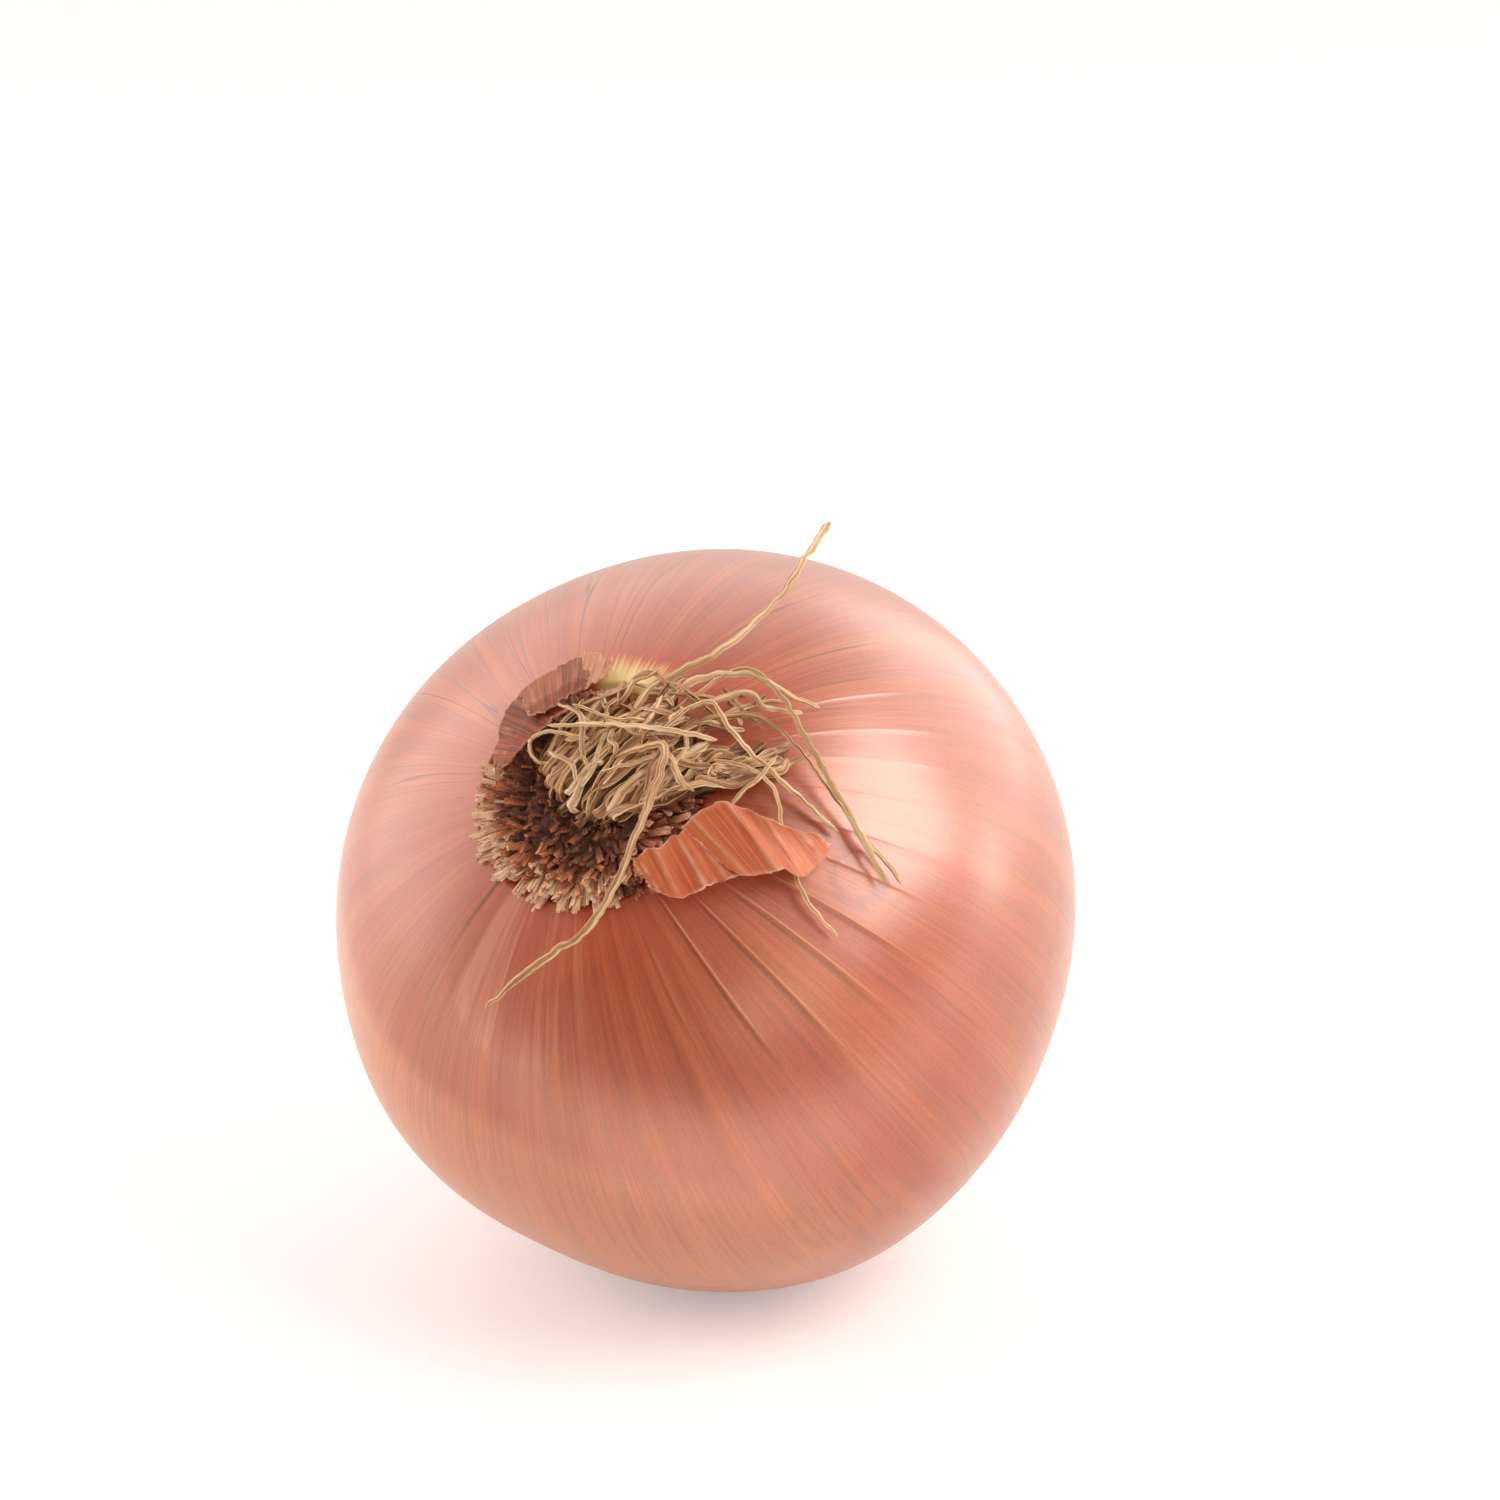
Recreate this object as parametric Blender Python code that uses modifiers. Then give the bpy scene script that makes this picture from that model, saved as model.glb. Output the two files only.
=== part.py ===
"""A brown onion lying on its side, with its root end up and to the front and its dry neck behind.

Metres, +Z up. The origin is the middle of the flat spot that the bulb rests on.
Pieces are shaped in the onion's own frame, whose +Z is the axis from neck to root end.
In it a place is given by longitude and distance. Longitude 0 is the side nearest the
surface, 90 the right-hand side seen from the front, and 180 the top. Distance is
measured from the axis.
"""

import math
import random

import bmesh
import bpy
from mathutils import Euler, Vector

MM = 0.001

# How the onion lies
LEAN = math.radians(47)
HEADING = math.radians(243)
REST_HEIGHT = 39.9 * MM
REST_SPOT = Vector((1.8, 1.7)) * MM
AXIS_TURN = Euler((0, LEAN, HEADING)).to_matrix()

# Bulb
BULB_RADIUS = 40.0 * MM
ROOT_END_HEIGHT = 36.5 * MM
ROOT_END_FULLNESS = 2.15
SHOULDER_HEIGHT = 42.0 * MM
SHOULDER_FULLNESS = 1.9
NECK_RADIUS = 6.0 * MM
NECK_FILLET = 2.6
NECK_END = 46.5 * MM
BULB_SIDES = 64
RIBS = 18
RIB_HEIGHT = 0.12 * MM
# Longitude in degrees, swelling in millimetres, width in degrees
SWELLINGS = (
    (34, 1.0, 20),
    (86, -0.8, 26),
    (150, 0.5, 30),
    (214, -0.6, 24),
    (268, 0.3, 24),
    (322, 0.5, 16),
    (349, -0.6, 14),
)

# Root plate, in a shallow dish in the bulb
GAP = 0.3 * MM
DISH_RADIUS = 11.2 * MM
DISH_FLOOR = 33.2 * MM
DISH_LIP = 12.3 * MM
PLATE_RADIUS = DISH_RADIUS - GAP
PLATE_TOP = 36.3 * MM
STUBS = 56
STUB_RADIUS = 0.42 * MM
STUB_ROOT = 8.2 * MM
STUB_TIP = (12.5, 13.6)
# The stubs under the torn collar are shorter
COLLAR_SPAN = (190, 270)
SHORT_STUB_TIP = (10.9, 11.4)

# Roots
ROOT_RADIUS = 0.58 * MM
CROWN_CENTRE = Vector((-3.4, 3.6, 38.5)) * MM
CROWN_SIZE = Vector((9.0, 5.0, 1.7)) * MM
CROWN_TURN = math.radians(118)
COMBED_ROOTS = 34
CROSSED_ROOTS = 16
# Single roots that stand clear of the mat: longitude, distance and lift over the skin
RAISED_ROOT = (
    (140, 5, 3),
    (160, 11, 3.2),
    (151, 18.5, 4.2),
    (153, 24.5, 5.8),
    (157, 28.5, 7.6),
    (160, 31.5, 9),
)
HANGING_ROOT = (
    (132, 4, 3.5),
    (112, 8.2, 6.6),
    (78, 8.4, 6.2),
    (46, 9.8, 5.4),
    (28, 13.5, 4),
    (8, 16, 3),
    (349, 23.2, 2.6),
)
SWEPT_ROOTS = (
    ((150, 8, 3), (148, 14, 3.6), (140, 18.4, 4), (130, 21.5, 3), (126, 23.6, 2.6)),
    ((142, 10, 3), (138, 18, 4), (121, 20.5, 3.3), (108, 23, 2.6), (97, 26.4, 1.7), (89, 30, 1.1)),
    ((135, 9, 3), (124, 17.4, 3), (109, 22, 2.4), (98, 26, 1.4), (90.5, 31, 1)),
    ((125, 7, 4), (124, 13.5, 4.8), (112, 16.6, 3.6), (103, 20.5, 1.7), (96, 25, 1)),
)
TUCKED_ROOT = ((115, 10, 3), (106, 17, 3), (98, 19.6, 1.6), (88, 21.4, 1), (79, 23.6, 1), (75, 28.6, 1))
CURLED_ROOT = ((145, 4, 3), (228, 5.2, 3), (246, 7.2, 2.6), (254, 5.2, 2.2), (245, 2.4, 2))
SINGLE_ROOTS = (RAISED_ROOT, HANGING_ROOT, *SWEPT_ROOTS, TUCKED_ROOT, CURLED_ROOT)

# Dry skin and neck leaves
SKIN_THICKNESS = 0.6 * MM
SHEAF_LEAVES = 6
SHEAF_RADII = (3.0 * MM, 4.0 * MM)
SHEAF_WIDTH = 6.0 * MM
COLLAR_LEAVES = 9
COLLAR_RADIUS = 4.6 * MM
# Longitude in degrees, length in millimetres, how far it bends over in radians
NECK_SCRAPS = ((105, 10, 1.5), (150, 11, 1.15), (232, 12, 1.6), (290, 9, 1.3))
NECK_LEAF_SEED = 7
ROOT_SEED = 11

SKIN = ("onion_skin", (0.53, 0.17, 0.07, 1), 0.38)
CORK = ("root_plate_cork", (0.16, 0.085, 0.05, 1), 0.9)
FIBRE = ("dry_root", (0.62, 0.42, 0.24, 1), 0.85)
SCALE = ("torn_skin", (0.48, 0.15, 0.065, 1), 0.5)
DARK_SCALE = ("torn_skin_old", (0.22, 0.075, 0.045, 1), 0.7)
LEAF = ("neck_leaf", (0.50, 0.25, 0.11, 1), 0.75)


# Helpers for the whole onion


def clear_scene():
    for obj in list(bpy.data.objects):
        bpy.data.objects.remove(obj)


def new_collection(name):
    made = bpy.data.collections.new(name)
    bpy.context.scene.collection.children.link(made)
    return made


def material(name, colour, roughness):
    made = bpy.data.materials.new(name)
    made.use_nodes = True
    shader = made.node_tree.nodes["Principled BSDF"]
    shader.inputs["Base Color"].default_value = colour
    shader.inputs["Roughness"].default_value = roughness
    shader.inputs["Metallic"].default_value = 0.0
    return made


def polar(longitude, distance, height=0.0):
    """A point from its longitude in degrees, and its distance and height in metres."""
    turn = math.radians(longitude)
    return Vector((distance * math.cos(turn), distance * math.sin(turn), height))


def bulb_radius(height):
    """The bulb's radius at a height on its axis: full at the root end, drawn out at the neck."""
    if height >= 0:
        share = min(height / ROOT_END_HEIGHT, 1.0)
        return BULB_RADIUS * (1 - share**ROOT_END_FULLNESS) ** (1 / ROOT_END_FULLNESS)
    share = min(-height / SHOULDER_HEIGHT, 1.0)
    belly = BULB_RADIUS * (1 - share**SHOULDER_FULLNESS) ** (1 / SHOULDER_FULLNESS)
    return (belly**NECK_FILLET + NECK_RADIUS**NECK_FILLET) ** (1 / NECK_FILLET)


def skin_height(distance):
    """The height of the skin over the root half, at a distance from the axis."""
    share = min(distance / BULB_RADIUS, 1.0)
    return ROOT_END_HEIGHT * (1 - share**ROOT_END_FULLNESS) ** (1 / ROOT_END_FULLNESS)


def over_skin(longitude, distance, lift):
    """A point over the root half's skin: degrees, then millimetres out and up from it."""
    out = distance * MM
    steep = (out / BULB_RADIUS) ** (ROOT_END_FULLNESS - 1) / BULB_RADIUS
    level = (skin_height(out) / ROOT_END_HEIGHT) ** (ROOT_END_FULLNESS - 1) / ROOT_END_HEIGHT
    lean = math.atan2(steep, level)
    raised = lift * MM
    return polar(longitude, out + raised * math.sin(lean), skin_height(out) + raised * math.cos(lean))


def smooth_path(points, count):
    """count points along a Catmull-Rom curve through the given points."""
    ends = [2 * points[0] - points[1], *points, 2 * points[-1] - points[-2]]
    path = []
    for index in range(count):
        place = index / (count - 1) * (len(points) - 1)
        start = min(int(place), len(points) - 2)
        t = place - start
        a, b, c, d = ends[start : start + 4]
        slope = (c - a) * t
        bow = (2 * a - 5 * b + 4 * c - d) * t**2
        twist = (3 * b - a - 3 * c + d) * t**3
        path.append(b + (slope + bow + twist) / 2)
    return path


def mesh_object(name, shape, collection, finish, smooth=True):
    """An object from a bmesh, held by the onion's axis."""
    mesh = bpy.data.meshes.new(name)
    shape.to_mesh(mesh)
    shape.free()
    if smooth:
        mesh.shade_smooth()
        mesh.set_sharp_from_angle(angle=math.radians(40))
    made = bpy.data.objects.new(name, mesh)
    made.data.materials.append(finish)
    made.parent = axis
    collection.objects.link(made)
    return made


def fibre(path, radii, collection):
    """A closed strand along a path, thinning as the radii say."""
    curve = bpy.data.curves.new("strand", "CURVE")
    curve.dimensions = "3D"
    curve.bevel_depth = 1.0
    curve.bevel_resolution = 0
    curve.use_fill_caps = True
    line = curve.splines.new("POLY")
    line.points.add(len(path) - 1)
    for point, place, radius in zip(line.points, path, radii):
        point.co = (*place, 1)
        point.radius = radius
    drawn = bpy.data.objects.new("strand", curve)
    bpy.context.scene.collection.objects.link(drawn)
    graph = bpy.context.evaluated_depsgraph_get()
    mesh = bpy.data.meshes.new_from_object(drawn.evaluated_get(graph))
    shape = bmesh.new()
    shape.from_mesh(mesh)
    bmesh.ops.remove_doubles(shape, verts=shape.verts, dist=0.01 * MM)
    bmesh.ops.recalc_face_normals(shape, faces=shape.faces)
    shape.to_mesh(mesh)
    shape.free()
    bpy.data.objects.remove(drawn)
    made = bpy.data.objects.new("strand", mesh)
    made.parent = axis
    collection.objects.link(made)
    return made


def fuse(body, repeats):
    """Joins a collection's closed shapes to a body, then drops what floats and fills what is sealed."""
    union = body.modifiers.new("fuse", "BOOLEAN")
    union.operation = "UNION"
    union.operand_type = "COLLECTION"
    union.collection = repeats
    union.solver = "MANIFOLD"
    bpy.context.view_layer.update()
    graph = bpy.context.evaluated_depsgraph_get()
    fused = bpy.data.meshes.new_from_object(body.evaluated_get(graph))
    body.modifiers.clear()
    for obj in list(repeats.objects):
        bpy.data.objects.remove(obj)
    bpy.data.collections.remove(repeats)
    keep_largest(fused)
    fused.materials.clear()
    fused.materials.append(body.data.materials[0])
    body.data = fused


def keep_largest(mesh):
    """Leaves only the piece of a mesh with the most faces."""
    shape = bmesh.new()
    shape.from_mesh(mesh)
    unseen = set(shape.faces)
    pieces = []
    while unseen:
        front = [unseen.pop()]
        piece = list(front)
        while front:
            found = {other for edge in front.pop().edges for other in edge.link_faces} & unseen
            unseen -= found
            front.extend(found)
            piece.extend(found)
        pieces.append(piece)
    pieces.sort(key=len)
    loose = [face for piece in pieces[:-1] for face in piece]
    bmesh.ops.delete(shape, geom=loose, context="FACES")
    shape.to_mesh(mesh)
    shape.free()


# Bulb


def swelling(longitude):
    """How far the bulb is out of round at a longitude, as a share of its radius."""
    total = 0.0
    for centre, height, width in SWELLINGS:
        off = (math.degrees(longitude) - centre + 180) % 360 - 180
        total += height * math.exp(-((off / width) ** 2))
    ribs = RIB_HEIGHT * math.cos(RIBS * longitude + 0.8 * math.sin(3 * longitude))
    return (total * MM + ribs) / BULB_RADIUS


def bulb_profile():
    """The turned outline, from the middle of the root dish down to the middle of the neck's end."""
    outline = [(0.0, DISH_FLOOR), (DISH_RADIUS, DISH_FLOOR)]
    lip_height = skin_height(DISH_LIP)
    steps = 12
    for index in range(steps):
        turn = math.asin(lip_height / ROOT_END_HEIGHT) * (1 - index / steps)
        height = ROOT_END_HEIGHT * math.sin(turn)
        outline.append((bulb_radius(height), height))
    steps = 16
    for index in range(steps + 1):
        height = -NECK_END * math.sin(math.pi / 2 * index / steps)
        outline.append((bulb_radius(height), height))
    outline.append((0.0, -NECK_END))
    return outline


def turned(name, outline, sides, collection, finish):
    """A closed body turned about the axis from an outline that runs down its outer side."""
    shape = bmesh.new()
    corners = [shape.verts.new((radius, 0, height)) for radius, height in outline]
    for a, b in zip(corners, corners[1:]):
        shape.edges.new((a, b))
    made = mesh_object(name, shape, collection, finish, smooth=False)
    screw = made.modifiers.new("turn", "SCREW")
    screw.steps = sides
    screw.render_steps = sides
    screw.use_merge_vertices = True
    screw.merge_threshold = 0.01 * MM
    screw.use_smooth_shade = True
    graph = bpy.context.evaluated_depsgraph_get()
    mesh = bpy.data.meshes.new_from_object(made.evaluated_get(graph))
    made.modifiers.clear()
    made.data = mesh
    return made


def make_bulb():
    bulb = turned("bulb", bulb_profile(), BULB_SIDES, onion, skin)
    for corner in bulb.data.vertices:
        distance = math.hypot(corner.co.x, corner.co.y)
        share = max(0.0, distance - DISH_LIP) / (BULB_RADIUS - DISH_LIP)
        grown = 1 + swelling(math.atan2(corner.co.y, corner.co.x)) * share
        corner.co.x *= grown
        corner.co.y *= grown
    shape = bmesh.new()
    shape.from_mesh(bulb.data)
    down = AXIS_TURN.transposed() @ Vector((0, 0, -1))
    cut = bmesh.ops.bisect_plane(
        shape,
        geom=shape.verts[:] + shape.edges[:] + shape.faces[:],
        plane_co=down * REST_HEIGHT,
        plane_no=down,
        clear_outer=True,
    )
    rim = [item for item in cut["geom_cut"] if isinstance(item, bmesh.types.BMEdge)]
    bmesh.ops.contextual_create(shape, geom=rim)
    bmesh.ops.recalc_face_normals(shape, faces=shape.faces)
    shape.to_mesh(bulb.data)
    shape.free()
    bulb.data.shade_smooth()
    bulb.data.set_sharp_from_angle(angle=math.radians(35))


# Root plate


def make_root_plate():
    """The corky disc that the roots grow from, ringed with the frayed stubs of old leaf bases."""
    outline = (
        (0.0, PLATE_TOP),
        (6.0 * MM, PLATE_TOP - 0.1 * MM),
        (9.4 * MM, PLATE_TOP - 0.6 * MM),
        (PLATE_RADIUS, PLATE_TOP - 1.3 * MM),
        (PLATE_RADIUS - 0.3 * MM, DISH_FLOOR + GAP),
        (0.0, DISH_FLOOR + GAP),
    )
    plate = turned("root_plate", outline, 32, onion, cork)
    stubs = new_collection("stubs")
    draw = random.Random(ROOT_SEED)
    for index in range(STUBS):
        longitude = 360 * (index + draw.uniform(-0.25, 0.25)) / STUBS
        covered = COLLAR_SPAN[0] < longitude < COLLAR_SPAN[1]
        reach = draw.uniform(*(SHORT_STUB_TIP if covered else STUB_TIP))
        root = polar(longitude, STUB_ROOT, PLATE_TOP - 0.75 * MM)
        tip = over_skin(longitude + draw.uniform(-2, 2), reach, 0.7 if covered else 1.05)
        middle = (root + tip) / 2 + Vector((0, 0, 0.15 * MM))
        thick = STUB_RADIUS * draw.uniform(0.85, 1.25)
        fibre([root, middle, tip], [thick, thick, 0.55 * thick], stubs)
    fuse(plate, stubs)


# Roots


def crown_height(x, y):
    """The top of the crown over a place in the onion's frame, or nothing beside it."""
    off = Vector((x, y)) - CROWN_CENTRE.xy
    along = (off.x * math.cos(CROWN_TURN) + off.y * math.sin(CROWN_TURN)) / CROWN_SIZE.x
    across = (off.y * math.cos(CROWN_TURN) - off.x * math.sin(CROWN_TURN)) / CROWN_SIZE.y
    return CROWN_CENTRE.z + CROWN_SIZE.z * math.sqrt(max(0.0, 1 - along**2 - across**2))


def drape(x, y, lift):
    """A point in millimetres, x towards longitude 0 and y towards 90, lying over the crown or beside it."""
    distance = math.hypot(x, y)
    over_stubs = PLATE_TOP if distance < 14.5 else 0.0
    ground = max(skin_height(distance * MM), over_stubs) + 1.4 * MM
    crown = crown_height(x * MM, y * MM)
    over = crown if crown > CROWN_CENTRE.z else ground
    return Vector((x * MM, y * MM, max(over, ground) + lift * MM))


def combed_root(draw, share):
    """One root of the combed mat: it bends over at the mat's lower edge and is swept up and right."""
    start_x = 2.6 - 4.4 * share + draw.uniform(-0.8, 0.8)
    start_y = -4.0 + 13.5 * share + draw.uniform(-0.8, 0.8)
    heading = math.radians(152 - 38 * share + draw.uniform(-12, 12))
    length = draw.uniform(9, 16)
    layer = draw.uniform(-0.1, 0.45)
    bend = draw.uniform(-1.5, 1.5)
    points = []
    for along, lift in ((0.0, 0.0), (0.12, 1.2), (0.3, 1.0), (0.55, 1.0), (0.8, 1.0), (1.0, 1.6)):
        side = bend * math.sin(math.pi * along)
        x = start_x + along * length * math.cos(heading) - side * math.sin(heading)
        y = start_y + along * length * math.sin(heading) + side * math.cos(heading)
        points.append(drape(x, y, lift * layer))
    return points


def crossed_root(draw):
    """A short root that lies across the mat at an angle."""
    x = draw.uniform(-8.5, -1.5)
    y = draw.uniform(-1, 10) - 0.3 * x
    heading = math.radians(draw.uniform(60, 200))
    length = draw.uniform(6, 10)
    layer = draw.uniform(0.4, 0.8)
    points = []
    for along in (-0.5, -0.2, 0.2, 0.5):
        across_x = x + along * length * math.cos(heading)
        across_y = y + along * length * math.sin(heading)
        points.append(drape(across_x, across_y, layer))
    return points




def make_roots():
    """The matted dry roots, grown from a low crown on the plate."""
    crown = bmesh.new()
    bmesh.ops.create_uvsphere(crown, u_segments=16, v_segments=8, radius=1.0)
    bmesh.ops.scale(crown, vec=CROWN_SIZE, verts=crown.verts)
    bmesh.ops.rotate(crown, cent=(0, 0, 0), matrix=Euler((0, 0, CROWN_TURN)).to_matrix(), verts=crown.verts)
    bmesh.ops.translate(crown, vec=CROWN_CENTRE, verts=crown.verts)
    roots = mesh_object("roots", crown, onion, root_fibre)
    strands = new_collection("strands")
    draw = random.Random(ROOT_SEED)
    paths = [combed_root(draw, (index + 0.5) / COMBED_ROOTS) for index in range(COMBED_ROOTS)]
    paths += [crossed_root(draw) for _ in range(CROSSED_ROOTS)]
    paths += [[over_skin(*place) for place in route] for route in SINGLE_ROOTS]
    for path in paths:
        count = 9 if len(path) > 6 else 6
        thick = ROOT_RADIUS * draw.uniform(0.85, 1.15)
        radii = [thick * (1 - 0.35 * (index / (count - 1)) ** 3) for index in range(count)]
        fibre(smooth_path(path, count), radii, strands)
    fuse(roots, strands)


# Torn skin


def sheet(name, columns, rows, place, collection, finish):
    """A thin sheet from a grid. place gives each corner from how far across and along the sheet it is."""
    shape = bmesh.new()
    bmesh.ops.create_grid(shape, x_segments=columns, y_segments=rows, size=0.5)
    for corner in shape.verts:
        corner.co = place(corner.co.x + 0.5, corner.co.y + 0.5)
    bmesh.ops.triangulate(shape, faces=shape.faces)
    made = mesh_object(name, shape, collection, finish)
    wall = made.modifiers.new("thickness", "SOLIDIFY")
    wall.thickness = SKIN_THICKNESS
    wall.offset = 0.0


def torn_scale(name, near_edge, far_edge, folds, pleat, finish):
    """A scrap of skin between two edges of (longitude, distance, lift), pleated from one to the other."""
    near = smooth_path([over_skin(*stop) for stop in near_edge], folds + 1)
    far = smooth_path([over_skin(*stop) for stop in far_edge], folds + 1)

    def place(across, along):
        column = round(across * folds)
        spot = near[column].lerp(far[column], along)
        spot.z += pleat * (-1) ** column * (0.3 + along)
        return spot

    sheet(name, folds, 3, place, onion, finish)


def make_torn_skin():
    """A flap of outer skin that stands off right of the plate, and an older collar at its upper left."""
    torn_scale(
        "torn_skin_flap",
        ((49, 9.6, 3.4), (64, 10.6, 3.4), (80, 12.4, 3.6), (94, 15, 3.4), (94, 18.2, 3.2), (93, 22.6, 2.2)),
        ((50, 13.4, 2.6), (56, 16.4, 3.2), (66, 18, 3.9), (74, 19.8, 3.8), (82, 23.2, 3.4), (92, 25.6, 0.9)),
        9,
        0.14 * MM,
        torn_skin,
    )
    torn_scale(
        "torn_skin_collar",
        ((263, 9.4, 2.5), (252, 8.8, 2.7), (234, 8.8, 2.8), (216, 9.6, 2.7), (196, 10.4, 2.4)),
        ((264, 12.6, 1.1), (254, 13.6, 1.0), (238, 14.6, 0.9), (218, 15.2, 0.9), (197, 14.6, 0.9)),
        9,
        0.08 * MM,
        old_skin,
    )


# Neck leaves


def over_surface(place):
    """The place, lifted where it would sink into what the onion rests on."""
    height = REST_HEIGHT + (AXIS_TURN @ place).z
    least = 0.8 * MM
    if height >= 3 * least:
        return place
    eased = least + (2 * least) * math.exp((height - 3 * least) / (2 * least))
    return place + AXIS_TURN.transposed() @ Vector((0, 0, eased - height))


def neck_leaf(draw, longitude, start, reach, flare, width, collection):
    """One dry leaf end: a pleated blade wrapped part of the way round, that bends outward as it goes."""
    columns = max(2, round(width / (1.5 * MM)))
    rows = 4
    out, down = start, NECK_END + GAP + 0.5 * MM
    spine = [(out, down, 0.0)]
    for row in range(1, rows + 1):
        bend = flare * row / rows * (2 - row / rows)
        out += reach / rows * math.sin(bend)
        down += reach / rows * math.cos(bend)
        spine.append((out, down, bend))
    twist = draw.uniform(-0.35, 0.35)
    tears = [reach * draw.uniform(-0.14, 0.1) for _ in range(columns + 1)]

    def place(across, along):
        out, down, bend = spine[round(along * rows)]
        column = round(across * columns)
        pleat = 0.28 * MM * (-1) ** column
        torn = tears[column] if along > 0.9 else 0.0
        aside = width * (0.8 + 0.3 * along) * (across - 0.5)
        turn = longitude + math.degrees(twist * along + aside / max(out, 3.4 * MM))
        distance = out + pleat * math.cos(bend) + torn * math.sin(bend)
        depth = down + torn * math.cos(bend) - pleat * math.sin(bend)
        return over_surface(polar(turn, distance, -depth))

    sheet("neck_leaf", columns, rows, place, collection, leaf)


def make_neck_leaves():
    """The dry leaf ends on the neck: a standing sheaf, a collar that folds back, and curled scraps."""
    base = (
        (0.0, -NECK_END - GAP - 0.2 * MM),
        (5.6 * MM, -NECK_END - GAP - 0.2 * MM),
        (5.0 * MM, -NECK_END - 2.4 * MM),
        (2.9 * MM, -NECK_END - 5.6 * MM),
        (2.4 * MM, -NECK_END - 8.0 * MM),
        (0.0, -NECK_END - 8.6 * MM),
    )
    tuft = turned("neck_leaves", base, 16, onion, leaf)
    blades = new_collection("blades")
    draw = random.Random(NECK_LEAF_SEED)
    for index in range(SHEAF_LEAVES):
        longitude = 360 * (index + draw.uniform(-0.2, 0.2)) / SHEAF_LEAVES
        start = SHEAF_RADII[index % 2]
        reach = draw.uniform(10.5, 13.5) * MM
        neck_leaf(draw, longitude, start, reach, draw.uniform(0.12, 0.42), SHEAF_WIDTH, blades)
    for index in range(COLLAR_LEAVES):
        longitude = 360 * (index + draw.uniform(-0.3, 0.3)) / COLLAR_LEAVES
        reach = draw.uniform(4.5, 6.5) * MM
        width = draw.uniform(3.6, 5.2) * MM
        neck_leaf(draw, longitude, COLLAR_RADIUS, reach, draw.uniform(1.5, 2.3), width, blades)
    for longitude, reach, flare in NECK_SCRAPS:
        neck_leaf(draw, longitude, COLLAR_RADIUS, reach * MM, flare, 1.8 * MM, blades)
    fuse(tuft, blades)


clear_scene()
onion = new_collection("onion")
axis = bpy.data.objects.new("onion_axis", None)
axis.location = (-REST_SPOT.x, -REST_SPOT.y, REST_HEIGHT)
axis.rotation_euler = (0, LEAN, HEADING)
onion.objects.link(axis)
skin = material(*SKIN)
cork = material(*CORK)
root_fibre = material(*FIBRE)
torn_skin = material(*SCALE)
old_skin = material(*DARK_SCALE)
leaf = material(*LEAF)
bpy.context.view_layer.update()

make_bulb()
make_root_plate()
make_roots()
make_torn_skin()
make_neck_leaves()
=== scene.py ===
import math
import random

import bmesh
import bpy
import numpy as np
from mathutils import Euler, Matrix, Vector, noise


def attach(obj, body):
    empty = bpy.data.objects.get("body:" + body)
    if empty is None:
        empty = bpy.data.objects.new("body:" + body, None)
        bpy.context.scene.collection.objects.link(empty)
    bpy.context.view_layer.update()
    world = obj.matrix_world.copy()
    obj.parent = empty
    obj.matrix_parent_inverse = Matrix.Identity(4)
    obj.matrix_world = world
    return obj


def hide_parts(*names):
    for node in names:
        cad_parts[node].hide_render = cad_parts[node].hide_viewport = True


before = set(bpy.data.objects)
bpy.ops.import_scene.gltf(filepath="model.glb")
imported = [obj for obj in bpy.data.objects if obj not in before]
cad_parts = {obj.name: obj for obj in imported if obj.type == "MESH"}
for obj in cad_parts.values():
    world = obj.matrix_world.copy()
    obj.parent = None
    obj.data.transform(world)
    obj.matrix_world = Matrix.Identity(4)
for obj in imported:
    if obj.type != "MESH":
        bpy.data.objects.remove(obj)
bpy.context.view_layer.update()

# Bulb
# The globe of a brown onion in its dry outer skin: thin, copper coloured, satin, with fibres that run
# from the root end to the neck. It is turned about its axis and then pushed out of round, pleated
# beside the root plate, and pressed flat where it rests.

MM = 0.001
LEAN = math.radians(47)
HEADING = math.radians(243)
REST_HEIGHT = 39.9
REST_SPOT = (1.8, 1.7)
BULB_RADIUS = 40.0
ROOT_END_HEIGHT = 36.5
ROOT_END_FULLNESS = 2.15
SHOULDER_HEIGHT = 42.0
SHOULDER_FULLNESS = 1.9
EQUATOR_EASE = 0.12
NECK_RADIUS = 5.7
NECK_FLARE = 6.0
NECK_BEND = 40.5
NECK_EASE = 1.2
NECK_FILLET = 5.0
NECK_END = 46.5
NECK_FOLDS = ((17, 0.24), (11, 0.2), (29, 0.08))
DISH_RADIUS = 11.2
DISH_FLOOR = 33.2
DISH_LIP = 12.3
BULB_STEPS = 450
ROOT_END_RINGS = 84
SHOULDER_RINGS = 104
# Longitude in degrees, swelling in millimetres, width in degrees
SWELLINGS = (
    (34, 1.0, 20),
    (86, -0.8, 26),
    (150, 0.5, 30),
    (214, -0.6, 24),
    (268, 0.3, 24),
    (322, 0.5, 16),
    (349, -0.6, 14),
)
# Pleats of the skin beside the root plate: longitude, where it starts and ends, height
PLEATS = (
    (20, 15, 24, 0.1),
    (38, 16, 32, 0.16),
    (50, 14, 34, 0.34),
    (60.5, 16, 38, 0.3),
    (70.5, 18, 38, 0.32),
    (80, 21, 37, 0.24),
    (90, 24, 36, 0.12),
    (98, 20, 36, 0.1),
    (107.5, 17, 37, 0.1),
    (115.5, 16, 37, 0.1),
    (122.5, 17, 39, 0.12),
    (131, 22, 38, 0.12),
)
# A pleat's rising side and its lapped panel, in degrees
PLEAT_STEP = 0.5
PLEAT_PANEL = 9.5
# The heights between which the neck's folds begin
FOLDS_BEGIN = (-37.0, -43.0)

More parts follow.
